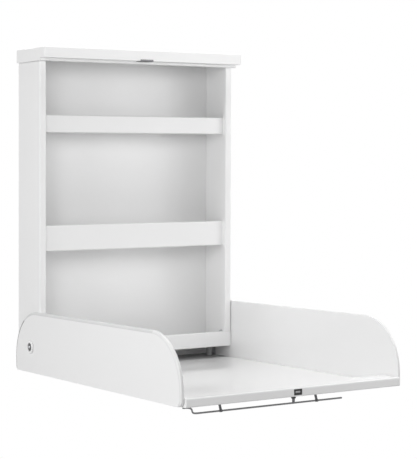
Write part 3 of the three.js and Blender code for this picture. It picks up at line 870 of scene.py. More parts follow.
@dataclass
class Carcass:
    """The back panel, the side walls with their stiles, the shelves and the wall screws."""

    half_width: float = 290.0
    depth: float = 124.0
    height: float = 790.7
    wall_top: float = 786.4
    stile_width: float = 18.0
    stile_return: float = 15.0
    top_turn: float = 22.0
    turn_front: float = 106.0
    shelf_half: float = 288.2
    shelf_front: float = 108.7
    shelf_rear: float = 1.8
    rear_turn: float = 8.0
    hem: float = 8.0
    upper_shelf: tuple[float, float] = (578.0, 45.0)
    middle_shelf: tuple[float, float] = (275.0, 65.5)
    rail_height: float = 40.0
    rail_recess: float = 119.2
    fixing_x: float = 210.0
    fixing_rows: tuple[tuple[str, float], ...] = (("upper", 775.0), ("lower", 15.0))
    fixing_bore: float = 3.3
    pivot_bore: float = 5.3
    bore_reach: float = 9.0

    def build(self) -> None:
        """Make and dress every piece of the carcass."""
        self.back_panel()
        self.walls()
        self.shelf("upper_shelf", *self.upper_shelf, self.shelf_front)
        self.shelf("middle_shelf", *self.middle_shelf, self.shelf_front)
        self.shelf("bottom_shelf", 0.0, self.rail_height, self.depth)
        self.wall_screws()

    def back_panel(self) -> None:
        """Make the back panel with its four screw holes."""
        half = self.shelf_half
        panel = Workpiece.block(made("back_panel"), (-half, 0, 0), (half, SHEET, self.height))
        panel.ease()
        for _, up in self.fixing_rows:
            for x in (-self.fixing_x, self.fixing_x):
                panel.cut(Workpiece.rod(self.fixing_bore, -SHEET, 2 * SHEET, Axis.OUT, (x, 0, up)))
        panel.hand_over(Body.CABINET, POWDER)

    def walls(self) -> None:
        """Fold the right wall into its stile and top turn, notch it for the bottom rail, and mirror it."""
        outer, inner = self.half_width, self.half_width - self.stile_width
        notch = self.rail_height + FIT
        wall = Workpiece.sheet("wall", Axis.X, (outer, 0, 0), (outer, self.depth, self.wall_top))
        for out in (self.shelf_rear, self.turn_front, self.rail_recess):
            wall.score((0, out, 0), (0, 1, 0))
        wall.fold(Zone(up=self.wall_top, out=(self.shelf_rear, self.turn_front)), (-self.top_turn, 0, 0))
        wall.fold(Zone(x=outer, out=self.depth), (-self.stile_width, 0, 0), (0, -self.stile_return, 0))
        for up in (notch, self.wall_top - 2 * SHEET):
            wall.score((0, 0, up), (0, 0, 1))
        wall.nip_off(Zone(out=(self.rail_recess, self.depth), up=(0, notch)))
        wall.nip_off(Zone(x=inner, up=(0, notch)))
        wall.bend(BEND, Zone(x=outer, out=self.depth), Zone(x=inner, out=self.depth))
        wall.thicken((1, 0, 0))
        wall.ease()
        wall.cut(Workpiece.rod(self.pivot_bore, outer - self.bore_reach, outer + self.bore_reach, Axis.X,
                               (0, PIVOT_OUT, PIVOT_UP)))
        hand_over_pair(wall, "wall", Body.CABINET, POWDER)

    def shelf(self, node: str, height: float, lip: float, front: float) -> None:
        """Fold one shelf: turned up behind, and folded up into a hemmed lip in front.

        Args:
            node: The shelf's name.
            height: The height of its underside.
            lip: The height of its lip.
            front: How far out its lip stands.
        """
        half = self.shelf_half
        shelf = Workpiece.sheet(made(node), Axis.UP, (-half, self.shelf_rear, height), (half, front, height))
        shelf.score((0, self.rail_recess, 0), (0, 1, 0))
        shelf.fold(Zone(out=self.shelf_rear), (0, 0, self.rear_turn))
        shelf.fold(Zone(out=front, up=height), (0, 0, lip), (0, -self.hem, 0))
        shelf.bend(BEND, Zone(out=self.shelf_rear, up=height), Zone(out=front, up=height),
                   Zone(out=front, up=height + lip))
        shelf.thicken((0, 0, -1))
        if front == self.depth:
            reach = self.half_width - half
            for side in (-1, 1):
                ends = tuple(sorted((side * half, side * (half - NEAR))))
                shelf.shift((side * reach, 0, 0), Zone(x=ends, out=(self.rail_recess + NEAR, front)),
                            Zone(x=ends, up=(height + self.rear_turn + BEND, height + lip)))
        shelf.ease()
        shelf.hand_over(Body.CABINET, POWDER)

    def wall_screws(self) -> None:
        """Make one wall screw and set four."""
        screw = CrossScrew(shank=3.0, head=5.5, head_height=3.5, length=SHEET + FIT)
        first = screw.make("wall_screw", Axis.OUT, (0, 0, 0))
        first.obj.data.transform(Matrix.Scale(-1, 4, (0, 1, 0)))
        first.obj.data.flip_normals()
        for row, up in self.fixing_rows:
            for side, x in (("left", -self.fixing_x), ("right", self.fixing_x)):
                node = f"{row}_{side}_wall_screw"
                first.copy(made(node), (x, SHEET + FIT, up)).hand_over(Body.CABINET, ZINC)
        bpy.data.objects.remove(first.obj)


@dataclass
class LidParts:
    """The lid, the stop rail under its front, the strike with its rivets, and the strips that hold it."""

    half_width: float = 296.0
    depth: float = 163.0
    top: float = 792.5
    front_bottom: float = 765.0
    skirt_bottom: float = 758.0
    stop_face: float = 136.5
    stop_rear: float = 124.3
    strike_out: float = 147.0
    strike_size: Place = (38.0, 14.0, 1.2)
    strike_lip: float = 5.0
    strike_bend: float = 2.0
    strike_ease: float = 0.25
    slot_size: tuple[float, float] = (20.0, 9.0)
    slot_reach: float = 5.0
    rivet_x: float = 14.0
    rivet_shank: float = 2.0
    rivet_foot: tuple[float, float] = (3.2, 0.7)
    rivet_head: tuple[float, float] = (3.6, 1.6)
    strip_x: float = 276.0
    strip_out: float = 53.9
    strip_size: tuple[float, float] = (16.0, 92.0)
    strip_heights: tuple[float, float] = (786.7, 790.7)
    strip_corner: float = 3.0
    strip_ease: float = 0.4
    strip_screws: tuple[tuple[str, float], ...] = (("rear", 21.9), ("front", 85.9))
    screw_seat: float = 784.6
    screw_length: float = 5.8

    def build(self) -> None:
        """Make and dress every piece of the lid."""
        self.lid()
        self.stop_rail()
        self.strike()
        self.strips()

    def lid(self) -> None:
        """Fold the lid's skirts down from its top, lower behind the stop rail than in front of it."""
        half, front = self.half_width, self.depth
        lid = Workpiece.sheet(made("lid"), Axis.UP, (-half, 0, self.top), (half, front, self.top))
        lid.score((0, self.stop_face, 0), (0, 1, 0))
        sides = [Zone(x=-half), Zone(x=half)]
        lid.fold([*sides, Zone(out=front)], (0, 0, self.front_bottom - self.top))
        drop = self.skirt_bottom - self.front_bottom
        lid.fold([Zone(x=x, out=(0, self.stop_face), up=self.front_bottom) for x in (-half, half)], (0, 0, drop))
        lid.bend(BEND, *[Zone(x=x, up=self.top) for x in (-half, half)], Zone(out=front, up=self.top),
                 *[Zone(x=x, out=front) for x in (-half, half)])
        lid.thicken((0, 0, 1))
        lid.ease()
        lid.hand_over(Body.CABINET, POWDER)

    def stop_rail(self) -> None:
        """Fold the stop rail and cut the strike's slot through it."""
        half = self.half_width - SHEET - FIT
        rail = Workpiece.sheet(made("stop_rail"), Axis.UP, (-half, self.stop_face, self.front_bottom),
                               (half, self.depth - SHEET - FIT, self.front_bottom))
        drop = self.skirt_bottom - self.front_bottom
        rail.fold(Zone(out=self.stop_face), (0, 0, drop), (0, self.stop_rear - self.stop_face, 0))
        rail.bend(BEND, Zone(out=self.stop_face, up=self.front_bottom), Zone(out=self.stop_face, up=self.skirt_bottom))
        rail.thicken((0, 0, -1))
        rail.ease()
        rail.cut(self.slot())
        rail.hand_over(Body.CABINET, POWDER)

    def slot(self) -> Workpiece:
        """The tool that cuts the strike's slot."""
        width, depth = self.slot_size
        low = (-width / 2, self.strike_out - depth / 2, self.front_bottom - self.slot_reach)
        high = (width / 2, self.strike_out + depth / 2, self.front_bottom + self.slot_reach)
        return Workpiece.block("slot", low, high)

    def strike(self) -> None:
        """Fold the strike plate up over the lid's lower edge, cut its slot, and set its two rivets."""
        width, depth, thickness = self.strike_size
        top = self.front_bottom - FIT
        bottom, front = top - thickness, self.depth + FIT + thickness
        plate = Workpiece.sheet(made("strike_plate"), Axis.UP, (-width / 2, self.strike_out - depth / 2, bottom),
                                (width / 2, front, bottom))
        plate.fold(Zone(out=front), (0, 0, self.strike_lip))
        plate.bend(self.strike_bend, Zone(out=front, up=bottom), steps=4)
        plate.thicken((0, 0, -1), thickness)
        plate.ease(self.strike_ease)
        plate.cut(self.slot())
        plate.hand_over(Body.CABINET, DARK_STEEL)
        (foot, foot_height), (head, head_height) = self.rivet_foot, self.rivet_head
        shank, seat = self.rivet_shank, SHEET + 2 * FIT
        profile = [*dome(foot, -foot_height, -thickness), (shank, -thickness), (shank, seat),
                   *reversed(dome(head, head_height, seat))]
        rivet = Workpiece.turned("rivet", profile, Axis.UP, (self.rivet_x, self.strike_out, top), 24)
        hand_over_pair(rivet, "strike_rivet", Body.CABINET, ZINC)

    def strips(self) -> None:
        """Make the strip under each end of the lid and the screws that come up into it."""
        width, length = self.strip_size
        low, high = self.strip_heights
        x0, x1 = self.strip_x - width / 2, self.strip_x + width / 2
        out0, out1 = self.strip_out - length / 2, self.strip_out + length / 2
        strip = Workpiece.block("strip", (x0, out0, low), (x1, out1, high))
        strip.bend(self.strip_corner, *[Zone(x=x, out=out) for x in (x0, x1) for out in (out0, out1)])
        strip.ease(self.strip_ease)
        hand_over_pair(strip, "lid_strip", Body.CABINET, ZINC)
        screw = small_screw(self.screw_length)
        for end, out in self.strip_screws:
            piece = screw.make("lid_screw", Axis.UP, (self.strip_x, out, self.screw_seat))
            hand_over_pair(piece, f"{end}_lid_screw", Body.CABINET, ZINC)


@dataclass
class Pivots:
    """The bolts that the tray turns on, with their nuts, plates, spacers, bushes and cover rings."""

    bolt: float = 5.0
    bore: float = 5.3
    panel_outer: float = 300.0
    panel_inner: float = 292.0
    wall_outer: float = 290.0
    plate_inner: float = 284.2
    plate_outer: float = 288.2
    plate_outs: tuple[float, float] = (67.7, 115.7)
    plate_ups: tuple[float, float] = (4.8, 40.8)
    plate_corner: float = 5.0
    plate_ease: float = 0.5
    bore_reach: float = 2.0
    head_radius: float = 9.0
    head_height: float = 4.6
    narrowing: float = 0.88
    chamfer: float = 1.0
    rim_depth: float = 0.4
    dish_radius: float = 4.6
    dish_depth: float = 1.2
    end_radius: float = 3.6
    end_sunk: float = 2.0
    edge_ease: float = 0.2
    nut_inner: float = 275.9
    spacer_radius: float = 14.0
    bush_radius: float = 8.3
    ring_inner: float = 10.6
    ring_outer: float = 16.5
    ring_height: float = 4.0
    ring_ease: float = 1.2
    nylon_ease: float = 0.4

    def build(self) -> None:
        """Make and dress every piece of the pivots."""
        place = (0.0, PIVOT_OUT, PIVOT_UP)
        self.bolts(place)
        self.plates(place)
        spacer = self.ring(self.bore, self.spacer_radius, self.wall_outer + FIT, self.panel_inner - FIT,
                           self.nylon_ease, place)
        hand_over_pair(spacer, "pivot_spacer", Body.CABINET, NYLON)
        bush = self.ring(self.bore, self.bush_radius, self.panel_inner, self.panel_outer, self.nylon_ease, (0, 0, 0))
        hand_over_pair(bush, "pivot_bush", Body.TRAY, NYLON)
        foot = self.panel_outer + FIT
        cover = self.ring(self.ring_inner, self.ring_outer, foot, foot + self.ring_height, self.ring_ease, (0, 0, 0))
        hand_over_pair(cover, "pivot_ring", Body.TRAY, POWDER)

    def ring(self, inner: float, outer: float, start: float, end: float, eased: float, place: Place) -> Workpiece:
        """Turn a ring about the pivot.

        Args:
            inner: Its bore's radius.
            outer: Its outer radius.
            start: Its inner face's x.
            end: Its outer face's x.
            eased: How far its edges are eased.
            place: The pivot.

        Returns:
            The right-hand ring.
        """
        ring = Workpiece.turned("ring", [(inner, start), (outer, start), (outer, end), (inner, end)], Axis.X, place, 64)
        ring.ease(eased, 3)
        return ring

    def bolts(self, place: Place) -> None:
        """Make the bolts with their chamfered hexagon heads and bright ends, and the nuts."""
        seat = self.panel_outer + FIT
        top = seat + self.head_height
        wide, narrow, chamfer = self.head_radius, self.head_radius * self.narrowing, self.chamfer
        rim, dish, end = top - self.rim_depth, top - self.dish_depth, self.end_radius
        head = [(0, seat), (wide, seat), (wide, top - chamfer), (narrow, rim), (self.dish_radius, rim),
                (self.dish_radius - 0.2, dish), (0, dish)]
        bolt = Workpiece.turned("bolt", head, Axis.X, place, 6)
        bolt.ease(self.edge_ease)
        sunk = top - self.end_sunk
        bolt.join(Workpiece.turned("end", [(0, sunk), (end, sunk), (end, top - 0.5), (end - 0.7, top), (0, top)],
                                   Axis.X, place, 24))
        start, radius = self.nut_inner - SHEET, self.bolt
        bolt.join(Workpiece.turned("shank", [(0, start), (radius - chamfer, start), (radius, start + chamfer),
                                             (radius, seat + 1), (0, seat + 1)], Axis.X, place))
        bolt.paint(DARK_STEEL, None, Zone(x=(seat - NEAR, rim + 0.05), out=(PIVOT_OUT - wide, PIVOT_OUT + wide)))
        reach = end + 0.05
        bolt.paint(ZINC, None, Zone(x=(top - 1.5, top), out=(PIVOT_OUT - reach, PIVOT_OUT + reach),
                                    up=(PIVOT_UP - reach, PIVOT_UP + reach)))
        hand_over_pair(bolt, "pivot_bolt", Body.CABINET, ZINC)
        inner, outer = self.nut_inner, self.plate_inner - FIT
        nut = Workpiece.turned("nut", [(self.bore, inner), (narrow, inner), (wide, inner + chamfer),
                                       (wide, outer - chamfer), (narrow, outer), (self.bore, outer)], Axis.X, place, 6)
        nut.ease(self.edge_ease)
        hand_over_pair(nut, "pivot_nut", Body.CABINET, ZINC)

    def plates(self, place: Place) -> None:
        """Make the plates that back the walls at the pivots."""
        (out0, out1), (up0, up1) = self.plate_outs, self.plate_ups
        plate = Workpiece.block("plate", (self.plate_inner, out0, up0), (self.plate_outer, out1, up1))
        plate.bend(self.plate_corner, *[Zone(out=out, up=up) for out in (out0, out1) for up in (up0, up1)])
        plate.ease(self.plate_ease)
        plate.cut(Workpiece.rod(self.bore, self.plate_inner - self.bore_reach, self.plate_outer + self.bore_reach,
                                Axis.X, place))
        hand_over_pair(plate, "pivot_plate", Body.CABINET, POWDER)


@dataclass
class RearStops:
    """The rubber buffers under the bottom shelf that the open tray leans on, and their studs."""

    x: float = 262.0
    out: float = 60.0
    radius: float = 9.0
    taper: float = 2.0
    stud: float = 3.0
    head: float = 6.0
    head_height: float = 4.0
    depth: float = 16.3
    groove: tuple[tuple[float, float], ...] = ((1.0, -10.0), (1.4, -9.0), (1.4, -7.5), (0.6, -6.5))
    buffer_ease: float = 0.5
    stud_ease: float = 0.2

    def build(self) -> None:
        """Make and dress the buffers and their studs."""
        place = (self.x, self.out, 0.0)
        low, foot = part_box("right_stop_buffer")[0].z / MM + FRAME_HEIGHT, self.radius - self.taper
        bore, floor = self.stud + FIT, -self.depth - FIT
        buffer = Workpiece.turned("buffer", [
            (0, low), (foot - 1.5, low), (foot, low + 1.5), *[(self.radius - inward, up) for inward, up in self.groove],
            (self.radius, -FIT), (bore, -FIT), (bore, floor), (0, floor)], Axis.UP, place)
        buffer.ease(self.buffer_ease)
        hand_over_pair(buffer, "stop_buffer", Body.CABINET, RUBBER)
        tip, seat = -self.depth, SHEET + FIT
        top = seat + self.head_height
        stud = Workpiece.turned("stud", [
            (0, tip), (self.stud - 0.6, tip), (self.stud, tip + 0.8), (self.stud, seat), (self.head, seat),
            (self.head, top - 0.8), (self.head * 0.86, top), (0, top)], Axis.UP, place, 6)
        stud.ease(self.stud_ease)
        hand_over_pair(stud, "stop_stud", Body.CABINET, ZINC)


@dataclass
class TrayParts:
    """The table sheet with its box rail, the side panels, and the brackets between them."""

    drop: float = -65.0
    half_width: float = 291.7
    rear: float = -88.0
    rear_upstand: float = 33.4
    rail_depth: float = 58.0
    rail_top: float = -45.0
    rail_edge: float = 4.0
    rail_end_gap: float = 0.6
    end_band: float = 2.0
    cap_setback: float = 0.2
    panel_inner: float = 292.0
    panel_thickness: float = 8.0
    panel_reach: float = 90.0
    panel_front: float = 723.5
    panel_corner: float = 120.0
    corner_steps: int = 36
    heel: float = 8.0
    toe: float = 15.0
    rim_width: float = 7.0
    rim_depth: float = 3.6
    inner_ease: float = 1.0
    # How far along the rim the mid-grey and the darkest painted shade reach.
    half_shade_end: float = 612.0
    deep_shade_end: float = -34.0
    # Where the painted shade on the table's rear strip ends, forward of the pivot.
    shade_front: float = 18.0
    bush_bore: float = 8.6
    bore_reach: float = 2.0
    bracket_foot: float = 22.0
    bracket_length: float = 34.0
    bracket_bend: float = 2.5
    bracket_bore: float = 2.1
    bracket_reach: float = 6.0
    screw_length: float = 7.5
    bracket_ends: tuple[tuple[str, float, float], ...] = (("front", 676.5, -46.8), ("rear", -80.5, -43.2))

    def build(self) -> None:
        """Make and dress the table, the panels and the brackets."""
        self.table()
        self.panels()
        self.brackets()

    def table(self) -> None:
        """Fold the table from one sheet: turned up behind, and round a box rail in front."""
        half, front, top = self.half_width, RAIL_FRONT, self.rail_top
        rear_of_rail = front - self.rail_depth
        table = Workpiece.sheet(made("table_pan"), Axis.UP, (-half, self.rear, self.drop), (half, front, self.drop))
        table.fold(Zone(out=self.rear), (0, 0, self.rear_upstand))
        table.fold(Zone(out=front, up=self.drop), (0, 0, top - self.drop), (0, -self.rail_depth, 0),
                   (0, 0, self.drop + SHEET + FIT - top))
        table.bend(BEND, Zone(out=self.rear, up=self.drop), Zone(out=front, up=self.drop),
                   Zone(out=rear_of_rail, up=top))
        table.bend(self.rail_edge, Zone(out=front, up=top), steps=10)
        table.thicken((0, 0, -1))
        for side in (-1, 1):
            ends = tuple(sorted((side * half, side * (half - NEAR))))
            table.shift((-side * self.rail_end_gap, 0, 0), Zone(x=ends, out=(front - self.end_band, front)),
                        Zone(x=ends, out=(rear_of_rail - 1, front), up=(self.drop + SHEET + 0.1, top)))
        # The rear strip under the cabinet is painted dark grey: painted shade where the cabinet's bottom shades the
        # table.
        table.score((0, self.shade_front, 0), (0, 1, 0))
        table.paint(UNDER_CABINET_SHADE, (0, 0, 1),
                    Zone(out=(self.rear, self.shade_front), up=(self.drop, self.drop + 2 * BEND)))
        table.paint(POWDER, (0, 0, -1), Zone(up=(self.drop - NEAR, self.drop + NEAR)))
        table.ease()
        for side in (-1, 1):
            table.join(self.rail_cap(side))
        wide, high, reach = LATCH_FACE_HALF + FIT, LATCH_FACE_HEIGHT / 2 + FIT, self.bore_reach
        slot_rear, slot_front = KNOB_SLOT_OUTS
        table.cut(Workpiece.block("latch_hole", (-wide, front - 8, LATCH_UP - high),
                                  (wide, front + reach, LATCH_UP + high)),
                  Workpiece.block("knob_slot", (-KNOB_SLOT_HALF, slot_rear, self.drop - reach),
                                  (KNOB_SLOT_HALF, slot_front, self.drop + 2 * SHEET)))
        table.hand_over(Body.TRAY, TABLE)

    def rail_cap(self, side: int) -> Workpiece:
        """A plate that closes one end of the box rail.

        Args:
            side: The rail's end, -1 or 1.

        Returns:
            The plate, let into half the sheet's thickness.
        """
        let_in = SHEET / 2
        end = self.half_width - self.rail_end_gap - self.cap_setback
        front, top = RAIL_FRONT - let_in, self.rail_top - let_in
        cap = Workpiece.block("rail_cap", (side * (end - SHEET), front - self.rail_depth + SHEET, self.drop + let_in),
                              (side * end, front, top))
        cap.bend(self.rail_edge - let_in, Zone(out=front, up=top))
        return cap

    def panels(self) -> None:
        """Cut the right panel with its two large corners, round its rim, paint shade on the rim, and mirror it."""
        inner, reach, front = self.panel_inner, self.panel_reach, self.panel_front
        outer = inner + self.panel_thickness
        low, high = inner + self.inner_ease, outer - self.rim_depth
        panel = Workpiece.sheet("panel", Axis.X, (low, -reach, self.drop), (low, front, reach))
        panel.round_off(self.panel_corner, Zone(out=-reach, up=reach), Zone(out=front, up=reach),
                        steps=self.corner_steps)
        panel.round_off(self.heel, Zone(out=-reach, up=self.drop))
        panel.round_off(self.toe, Zone(out=front, up=self.drop))
        panel.grow(Zone(x=low), (high - low, 0, 0))
        panel.crown(Zone(x=low), self.inner_ease, self.inner_ease)
        panel.crown(Zone(x=high), self.rim_width, self.rim_depth)
        panel.press(Zone(x=(high, outer), out=(self.heel - reach, front - self.toe),
                         up=(self.drop, self.drop + self.rim_width)), self.drop)
        above = (self.drop + RIM, reach)
        # Painted shade on the rim: the lightest grey all round, the mid grey along the top, the darkest on the rear
        # arc.
        panel.paint(RIM_LIGHT_SHADE, None, Zone(x=(low, outer), up=above))
        panel.paint(RIM_HALF_SHADE, None, Zone(x=(low, outer), out=(-reach, self.half_shade_end), up=above))
        panel.paint(RIM_DEEP_SHADE, None, Zone(x=(low, outer), out=(-reach, self.deep_shade_end), up=above))
        panel.cut(Workpiece.rod(self.bush_bore, inner - self.bore_reach, outer + self.bore_reach, Axis.X, (0, 0, 0)))
        hand_over_pair(panel, "panel", Body.TRAY, LACQUER)

    def brackets(self) -> None:
        """Fold the corner brackets and drive their screws."""
        bottom = self.drop + SHEET + FIT
        screw = small_screw(self.screw_length)
        for end, start, top in self.bracket_ends:
            stop = start + self.bracket_length
            bracket = Workpiece.sheet("bracket", Axis.UP, (self.half_width - self.bracket_foot, start, bottom),
                                      (self.half_width, stop, bottom))
            bracket.fold(Zone(x=self.half_width), (0, 0, top - bottom))
            bracket.bend(self.bracket_bend, Zone(x=self.half_width, up=bottom))
            bracket.thicken((0, 0, -1))
            bracket.ease()
            middle = (start + self.bracket_length / 2, (bottom + SHEET + top) / 2)
            bracket.cut(Workpiece.rod(self.bracket_bore, self.half_width - self.bracket_reach,
                                      self.half_width + self.bracket_reach, Axis.X, (0, *middle)))
            hand_over_pair(bracket, f"{end}_bracket", Body.TRAY, ZINC)
            piece = screw.make("bracket_screw", Axis.X, (self.half_width - SHEET - FIT, *middle))
            hand_over_pair(piece, f"{end}_bracket_screw", Body.TRAY, ZINC)


@dataclass
class TowelRail:
    """The rod under the table with its cranked end, and the two posts that carry it."""

    radius: float = 2.0
    end: float = 206.0
    forward: float = 621.5
    height: float = -98.0
    crank_x: float = -207.0
    crank_rise: float = 14.5
    crank_reach: float = 26.0
    crank_bow: float = 12.0
    crank_steepness: float = 15.0
    tail_handle: float = 9.0
    run_handle: float = 40.0
    end_ease: float = 0.6
    post_x: float = 133.0
    post_radius: float = 3.0
    post_lean: float = 12.0
    foot_radius: float = 7.0
    foot_top: float = -65.3
    eye_bore: float = 2.3
    eye_outer: float = 3.1
    eye_half: float = 3.0
    post_ease: float = 0.3

    def build(self) -> None:
        """Make and dress the rod and its posts."""
        self.rod()
        self.posts()

    def rod(self) -> None:
        """Draw the rod along its line and close its ends."""
        clear_bench()
        bpy.ops.curve.primitive_bezier_curve_add()
        line = bpy.context.active_object.data
        line.bevel_depth, line.bevel_resolution, line.resolution_u, line.use_fill_caps = self.radius, 5, 18, True
        spline = line.splines[0]
        spline.bezier_points.add(1)
        start, rise, landing = self.crank_x - self.crank_reach, self.crank_rise, self.crank_x + self.crank_bow
        steep, run = self.crank_steepness, self.run_handle
        knots = (((start, rise), (start - self.tail_handle, rise), (self.crank_x + steep, rise)),
                 ((landing, 0.0), (self.crank_x - steep, 0.0), (landing + run, 0.0)),
                 ((self.end, 0.0), (self.end - run, 0.0), (self.end + run, 0.0)))
        for point, knot in zip(spline.bezier_points, knots):
            point.handle_left_type = point.handle_right_type = "FREE"
            point.co, point.handle_left, point.handle_right = [
                spot((x, self.forward, self.height + up)) for x, up in knot]
        bpy.ops.object.convert(target="MESH")
        rod = Workpiece(made("towel_rail"))
        rod.knit()
        rod.ease(self.end_ease, 3)
        rod.hand_over(Body.TRAY, ROD_STEEL)

    def posts(self) -> None:
        """Make the right post: a round foot, a leaning stem and an eye round the rod."""
        x, rise = self.post_x, self.foot_top - 1.0 - self.height
        eye = (x, self.forward, self.height)
        stem = Workpiece.rod(self.post_radius, 0.0, math.hypot(self.post_lean, rise), Axis.UP, (0, 0, 0), 28)
        lean = Matrix.Rotation(-math.atan2(self.post_lean, rise), 4, "X")
        stem.obj.data.transform(Matrix.Translation(spot(eye)) @ lean)
        neck, rim, top = self.post_radius, self.foot_radius, self.foot_top
        foot = Workpiece.turned("foot", [
            (0, top - 3.2), (neck + 0.8, top - 3.2), (neck + 2.0, top - 2.2), (rim - 0.8, top - 2.0),
            (rim, top - 1.4), (rim, top), (0, top)], Axis.UP, (x, self.forward - self.post_lean, 0))
        ring = Workpiece.rod(self.eye_outer, -self.eye_half, self.eye_half, Axis.X, eye)
        stem.join(foot, ring)
        stem.cut(Workpiece.rod(self.eye_bore, -2 * self.eye_half, 2 * self.eye_half, Axis.X, eye))
        stem.ease(self.post_ease)
        hand_over_pair(stem, "towel_post", Body.TRAY, DARK_STEEL)


@dataclass
class Latch:
    """The case in the front rail, the flat bolt that it guides and the knob that slides it."""

    case_front: float = 726.2
    case_rear: float = 692.2
    case_ups: tuple[float, float] = (-63.2, -46.8)
    case_ease: float = 0.5
    face_inset: float = 4.0
    face_ease: float = 0.7
    channel_reach: float = 2.0
    bolt_half: float = 7.0
    bolt_thickness: float = 5.0
    bolt_length: float = 44.0
    bolt_nose: float = 1.6
    bolt_ease: float = 0.3
    case_half: float = 16.0
    knob_forward: float = 712.5
    knob_top: float = -66.0
    knob_length: float = 16.0
    collar: float = 5.5
    collar_height: float = 5.0
    pin: float = 3.3
    neck: float = 3.0
    knob_ease: float = 0.2

    def build(self) -> None:
        """Make and dress the case, the bolt and the knob."""
        self.case()
        self.bolt()
        self.knob()

    def case(self) -> None:
        """Make the case with its face plate, the bolt's channel and the knob's slot."""
        rear, (bottom, top) = self.case_rear, self.case_ups
        case = Workpiece.block(made("latch_case"), (-self.case_half, rear, bottom),
                               (self.case_half, self.case_front, top))
        low, high = LATCH_UP - LATCH_FACE_HEIGHT / 2, LATCH_UP + LATCH_FACE_HEIGHT / 2
        face = Workpiece.block("face", (-LATCH_FACE_HALF, rear + self.face_inset, low),
                               (LATCH_FACE_HALF, RAIL_FRONT, high))
        face.ease(self.face_ease, 3)
        case.ease(self.case_ease)
        case.join(face)
        wide, half, past = self.bolt_half + FIT, self.bolt_thickness / 2 + FIT, self.channel_reach
        slot_rear, slot_front = KNOB_SLOT_OUTS
        case.cut(Workpiece.block("channel", (-wide, rear - past, LATCH_UP - half),
                                 (wide, RAIL_FRONT + past, LATCH_UP + half)),
                 Workpiece.block("slot", (-KNOB_SLOT_HALF, slot_rear, self.knob_top),
                                 (KNOB_SLOT_HALF, slot_front, LATCH_UP)))
        case.hand_over(Body.TRAY, BLACK_PLASTIC)

    def bolt(self) -> None:
        """Make the bolt with its eased nose."""
        tip, half = RAIL_FRONT - FIT, self.bolt_thickness / 2
        bolt = Workpiece.block(made("latch_bolt"), (-self.bolt_half, tip - self.bolt_length, LATCH_UP - half),
                               (self.bolt_half, tip, LATCH_UP + half))
        bolt.bend(self.bolt_nose, *[Zone(out=tip, up=LATCH_UP + side * half) for side in (-1, 1)],
                  *[Zone(out=tip, x=side * self.bolt_half) for side in (-1, 1)], steps=4)
        bolt.ease(self.bolt_ease)
        bolt.hand_over(Body.LATCH, BOLT_STEEL)

    def knob(self) -> None:
        """Turn the knob: a black collar under the table and a steel pin below it."""
        top, bottom = self.knob_top, self.knob_top - self.knob_length
        pin, collar, seat = self.pin, self.collar, top - self.collar_height
        neck_top = LATCH_UP - self.bolt_thickness / 2 - FIT
        knob = Workpiece.turned(made("latch_knob"), [
            (0, bottom), (pin - 0.9, bottom), (pin, bottom + 0.9), (pin, bottom + 4.0), (pin - 0.5, bottom + 4.5),
            (pin - 0.5, bottom + 5.5), (pin, bottom + 6.0), (pin, seat), (collar - 0.8, seat), (collar, seat + 0.8),
            (collar, top - 0.8), (collar - 0.8, top), (self.neck, top), (self.neck, neck_top), (0, neck_top)],
            Axis.UP, (0, self.knob_forward, 0), 36)
        knob.paint(BLACK_PLASTIC, None, Zone(up=(seat, top)))
        knob.ease(self.knob_ease)
        knob.hand_over(Body.LATCH, DARK_STEEL)


@dataclass(frozen=True)
class Lamp:
    """One soft square lamp of the studio."""

    name: str
    place: Place
    size: float
    power: float

    def hang(self, target: Place) -> None:
        """Hang the lamp and aim it at a target."""
        bpy.ops.object.light_add(type="AREA", location=self.place)
        lamp = bpy.context.active_object
        lamp.name = self.name
        lamp.data.size, lamp.data.energy = self.size, self.power
        aim = Vector(target) - Vector(self.place)
        lamp.rotation_euler = aim.to_track_quat("-Z", "Y").to_euler()


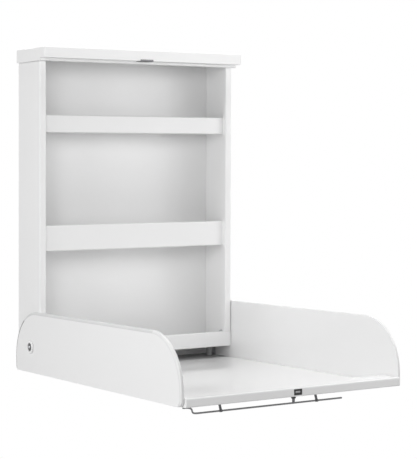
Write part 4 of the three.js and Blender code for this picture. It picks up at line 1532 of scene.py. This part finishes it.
@dataclass
class Studio:
    """The floor, the lamps, the white surround and the camera, all in metres."""

    floor_place: Place = (0.0, -0.4, -1.66)
    floor_size: float = 4.0
    floor_tones: tuple[Colour, Colour] = ((0.80, 0.80, 0.80, 1), (0.77, 0.77, 0.775, 1))
    floor_roughness: float = 0.6
    ambient: float = 0.2
    camera_place: Place = (-1.87514, -3.3497, -0.25137)
    yaw: float = math.radians(30.442)
    pitch: float = math.radians(-1.02957)
    roll: float = math.radians(0.09803)
    lens: float = 122.6946
    sensor: float = 36.0
    shift: tuple[float, float] = (0.15, -0.12)
    aim: Place = (0.0, -0.35, -0.45)
    lamps: tuple[Lamp, ...] = (
        Lamp("overhead_lamp", (0.0, -0.2, 1.5), 1.2, 23.9),
        Lamp("left_front_lamp", (-2.2, -3.0, 0.2), 1.2, 11.7),
        Lamp("left_rear_lamp", (-2.6, 0.2, 0.7), 1.2, 12.7),
        Lamp("left_low_lamp", (-2.6, -0.9, -0.4), 1.2, 15.1),
        Lamp("right_low_lamp", (2.6, -1.9, -0.4), 1.2, 18.6),
        Lamp("left_fill_lamp", (-1.5, -1.6, 0.1), 0.6, 6.3),
        Lamp("middle_fill_lamp", (0.4, -1.3, 0.1), 0.6, 1.8),
        Lamp("right_fill_lamp", (1.0, -1.3, 0.1), 0.6, 3.5),
        Lamp("rear_lamp", (0.9, 3.0, 0.5), 1.2, 40.0),
    )

    def build(self) -> None:
        """Set up the whole studio."""
        clear_bench()
        self.floor()
        self.surround()
        for lamp in self.lamps:
            lamp.hang(self.aim)
        self.camera()
        bpy.context.scene.view_settings.view_transform = "Standard"

    def floor(self) -> None:
        """Lay a plain pale floor well below the cabinet."""
        bpy.ops.mesh.primitive_plane_add(size=self.floor_size, location=self.floor_place)
        floor = bpy.context.active_object
        floor.name = "studio_floor"
        material = bpy.data.materials.new("pale_floor")
        material.use_nodes = True
        graph = Graph(material.node_tree)
        tone = graph.tint(graph.noise(3.0, 4.0), *self.floor_tones)
        surface = graph.node("ShaderNodeBsdfPrincipled", {"Base Color": tone, "Roughness": self.floor_roughness})
        graph.node("ShaderNodeOutputMaterial", {"Surface": surface})
        floor.data.materials.append(material)

    def surround(self) -> None:
        """Make a surround that looks white and lights the object softly."""
        world = bpy.data.worlds.new("white_surround")
        bpy.context.scene.world = world
        world.use_nodes = True
        graph = Graph(world.node_tree)
        seen = graph.node("ShaderNodeLightPath", {}, "Is Camera Ray")
        for kind in ("Is Glossy Ray", "Is Transmission Ray"):
            seen = seen + graph.node("ShaderNodeLightPath", {}, kind)
        light = graph.node("ShaderNodeBackground", {"Color": (1, 1, 1, 1), "Strength": self.ambient})
        white = graph.node("ShaderNodeBackground", {"Color": (1, 1, 1, 1), "Strength": 1.0})
        blend = graph.node("ShaderNodeMixShader", {0: seen, 1: light, 2: white})
        graph.node("ShaderNodeOutputWorld", {"Surface": blend})

    def camera(self) -> None:
        """Set the camera where the photograph was taken from."""
        ahead = Vector((math.sin(self.yaw), math.cos(self.yaw), 0))
        right = Vector((math.cos(self.yaw), -math.sin(self.yaw), 0))
        up = Vector((0, 0, 1))
        look = ahead * math.cos(self.pitch) + up * math.sin(self.pitch)
        over = up * math.cos(self.pitch) - ahead * math.sin(self.pitch)
        side = right * math.cos(self.roll) + over * math.sin(self.roll)
        over = over * math.cos(self.roll) - right * math.sin(self.roll)
        bpy.ops.object.camera_add()
        camera = bpy.context.active_object
        camera.name = "photo_camera"
        turn = Matrix((side, over, -look)).transposed().to_4x4()
        camera.matrix_world = Matrix.Translation(self.camera_place) @ turn
        lens = camera.data
        lens.sensor_fit, lens.sensor_width, lens.lens = "HORIZONTAL", self.sensor, self.lens
        lens.shift_x, lens.shift_y = self.shift
        bpy.context.scene.camera = camera


def main() -> None:
    """Build every sub-assembly in order, then the studio."""
    logging.basicConfig(level=logging.INFO, format="%(name)s: %(message)s")
    for assembly in (Carcass(), LidParts(), Pivots(), RearStops(), TrayParts(), TowelRail(), Latch()):
        LOG.info("building %s", type(assembly).__name__)
        assembly.build()
    for name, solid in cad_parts.items():
        if not solid.hide_render:
            LOG.warning("%s shows its plain solid", name)
    Studio().build()


if __name__ == "__main__":
    main()
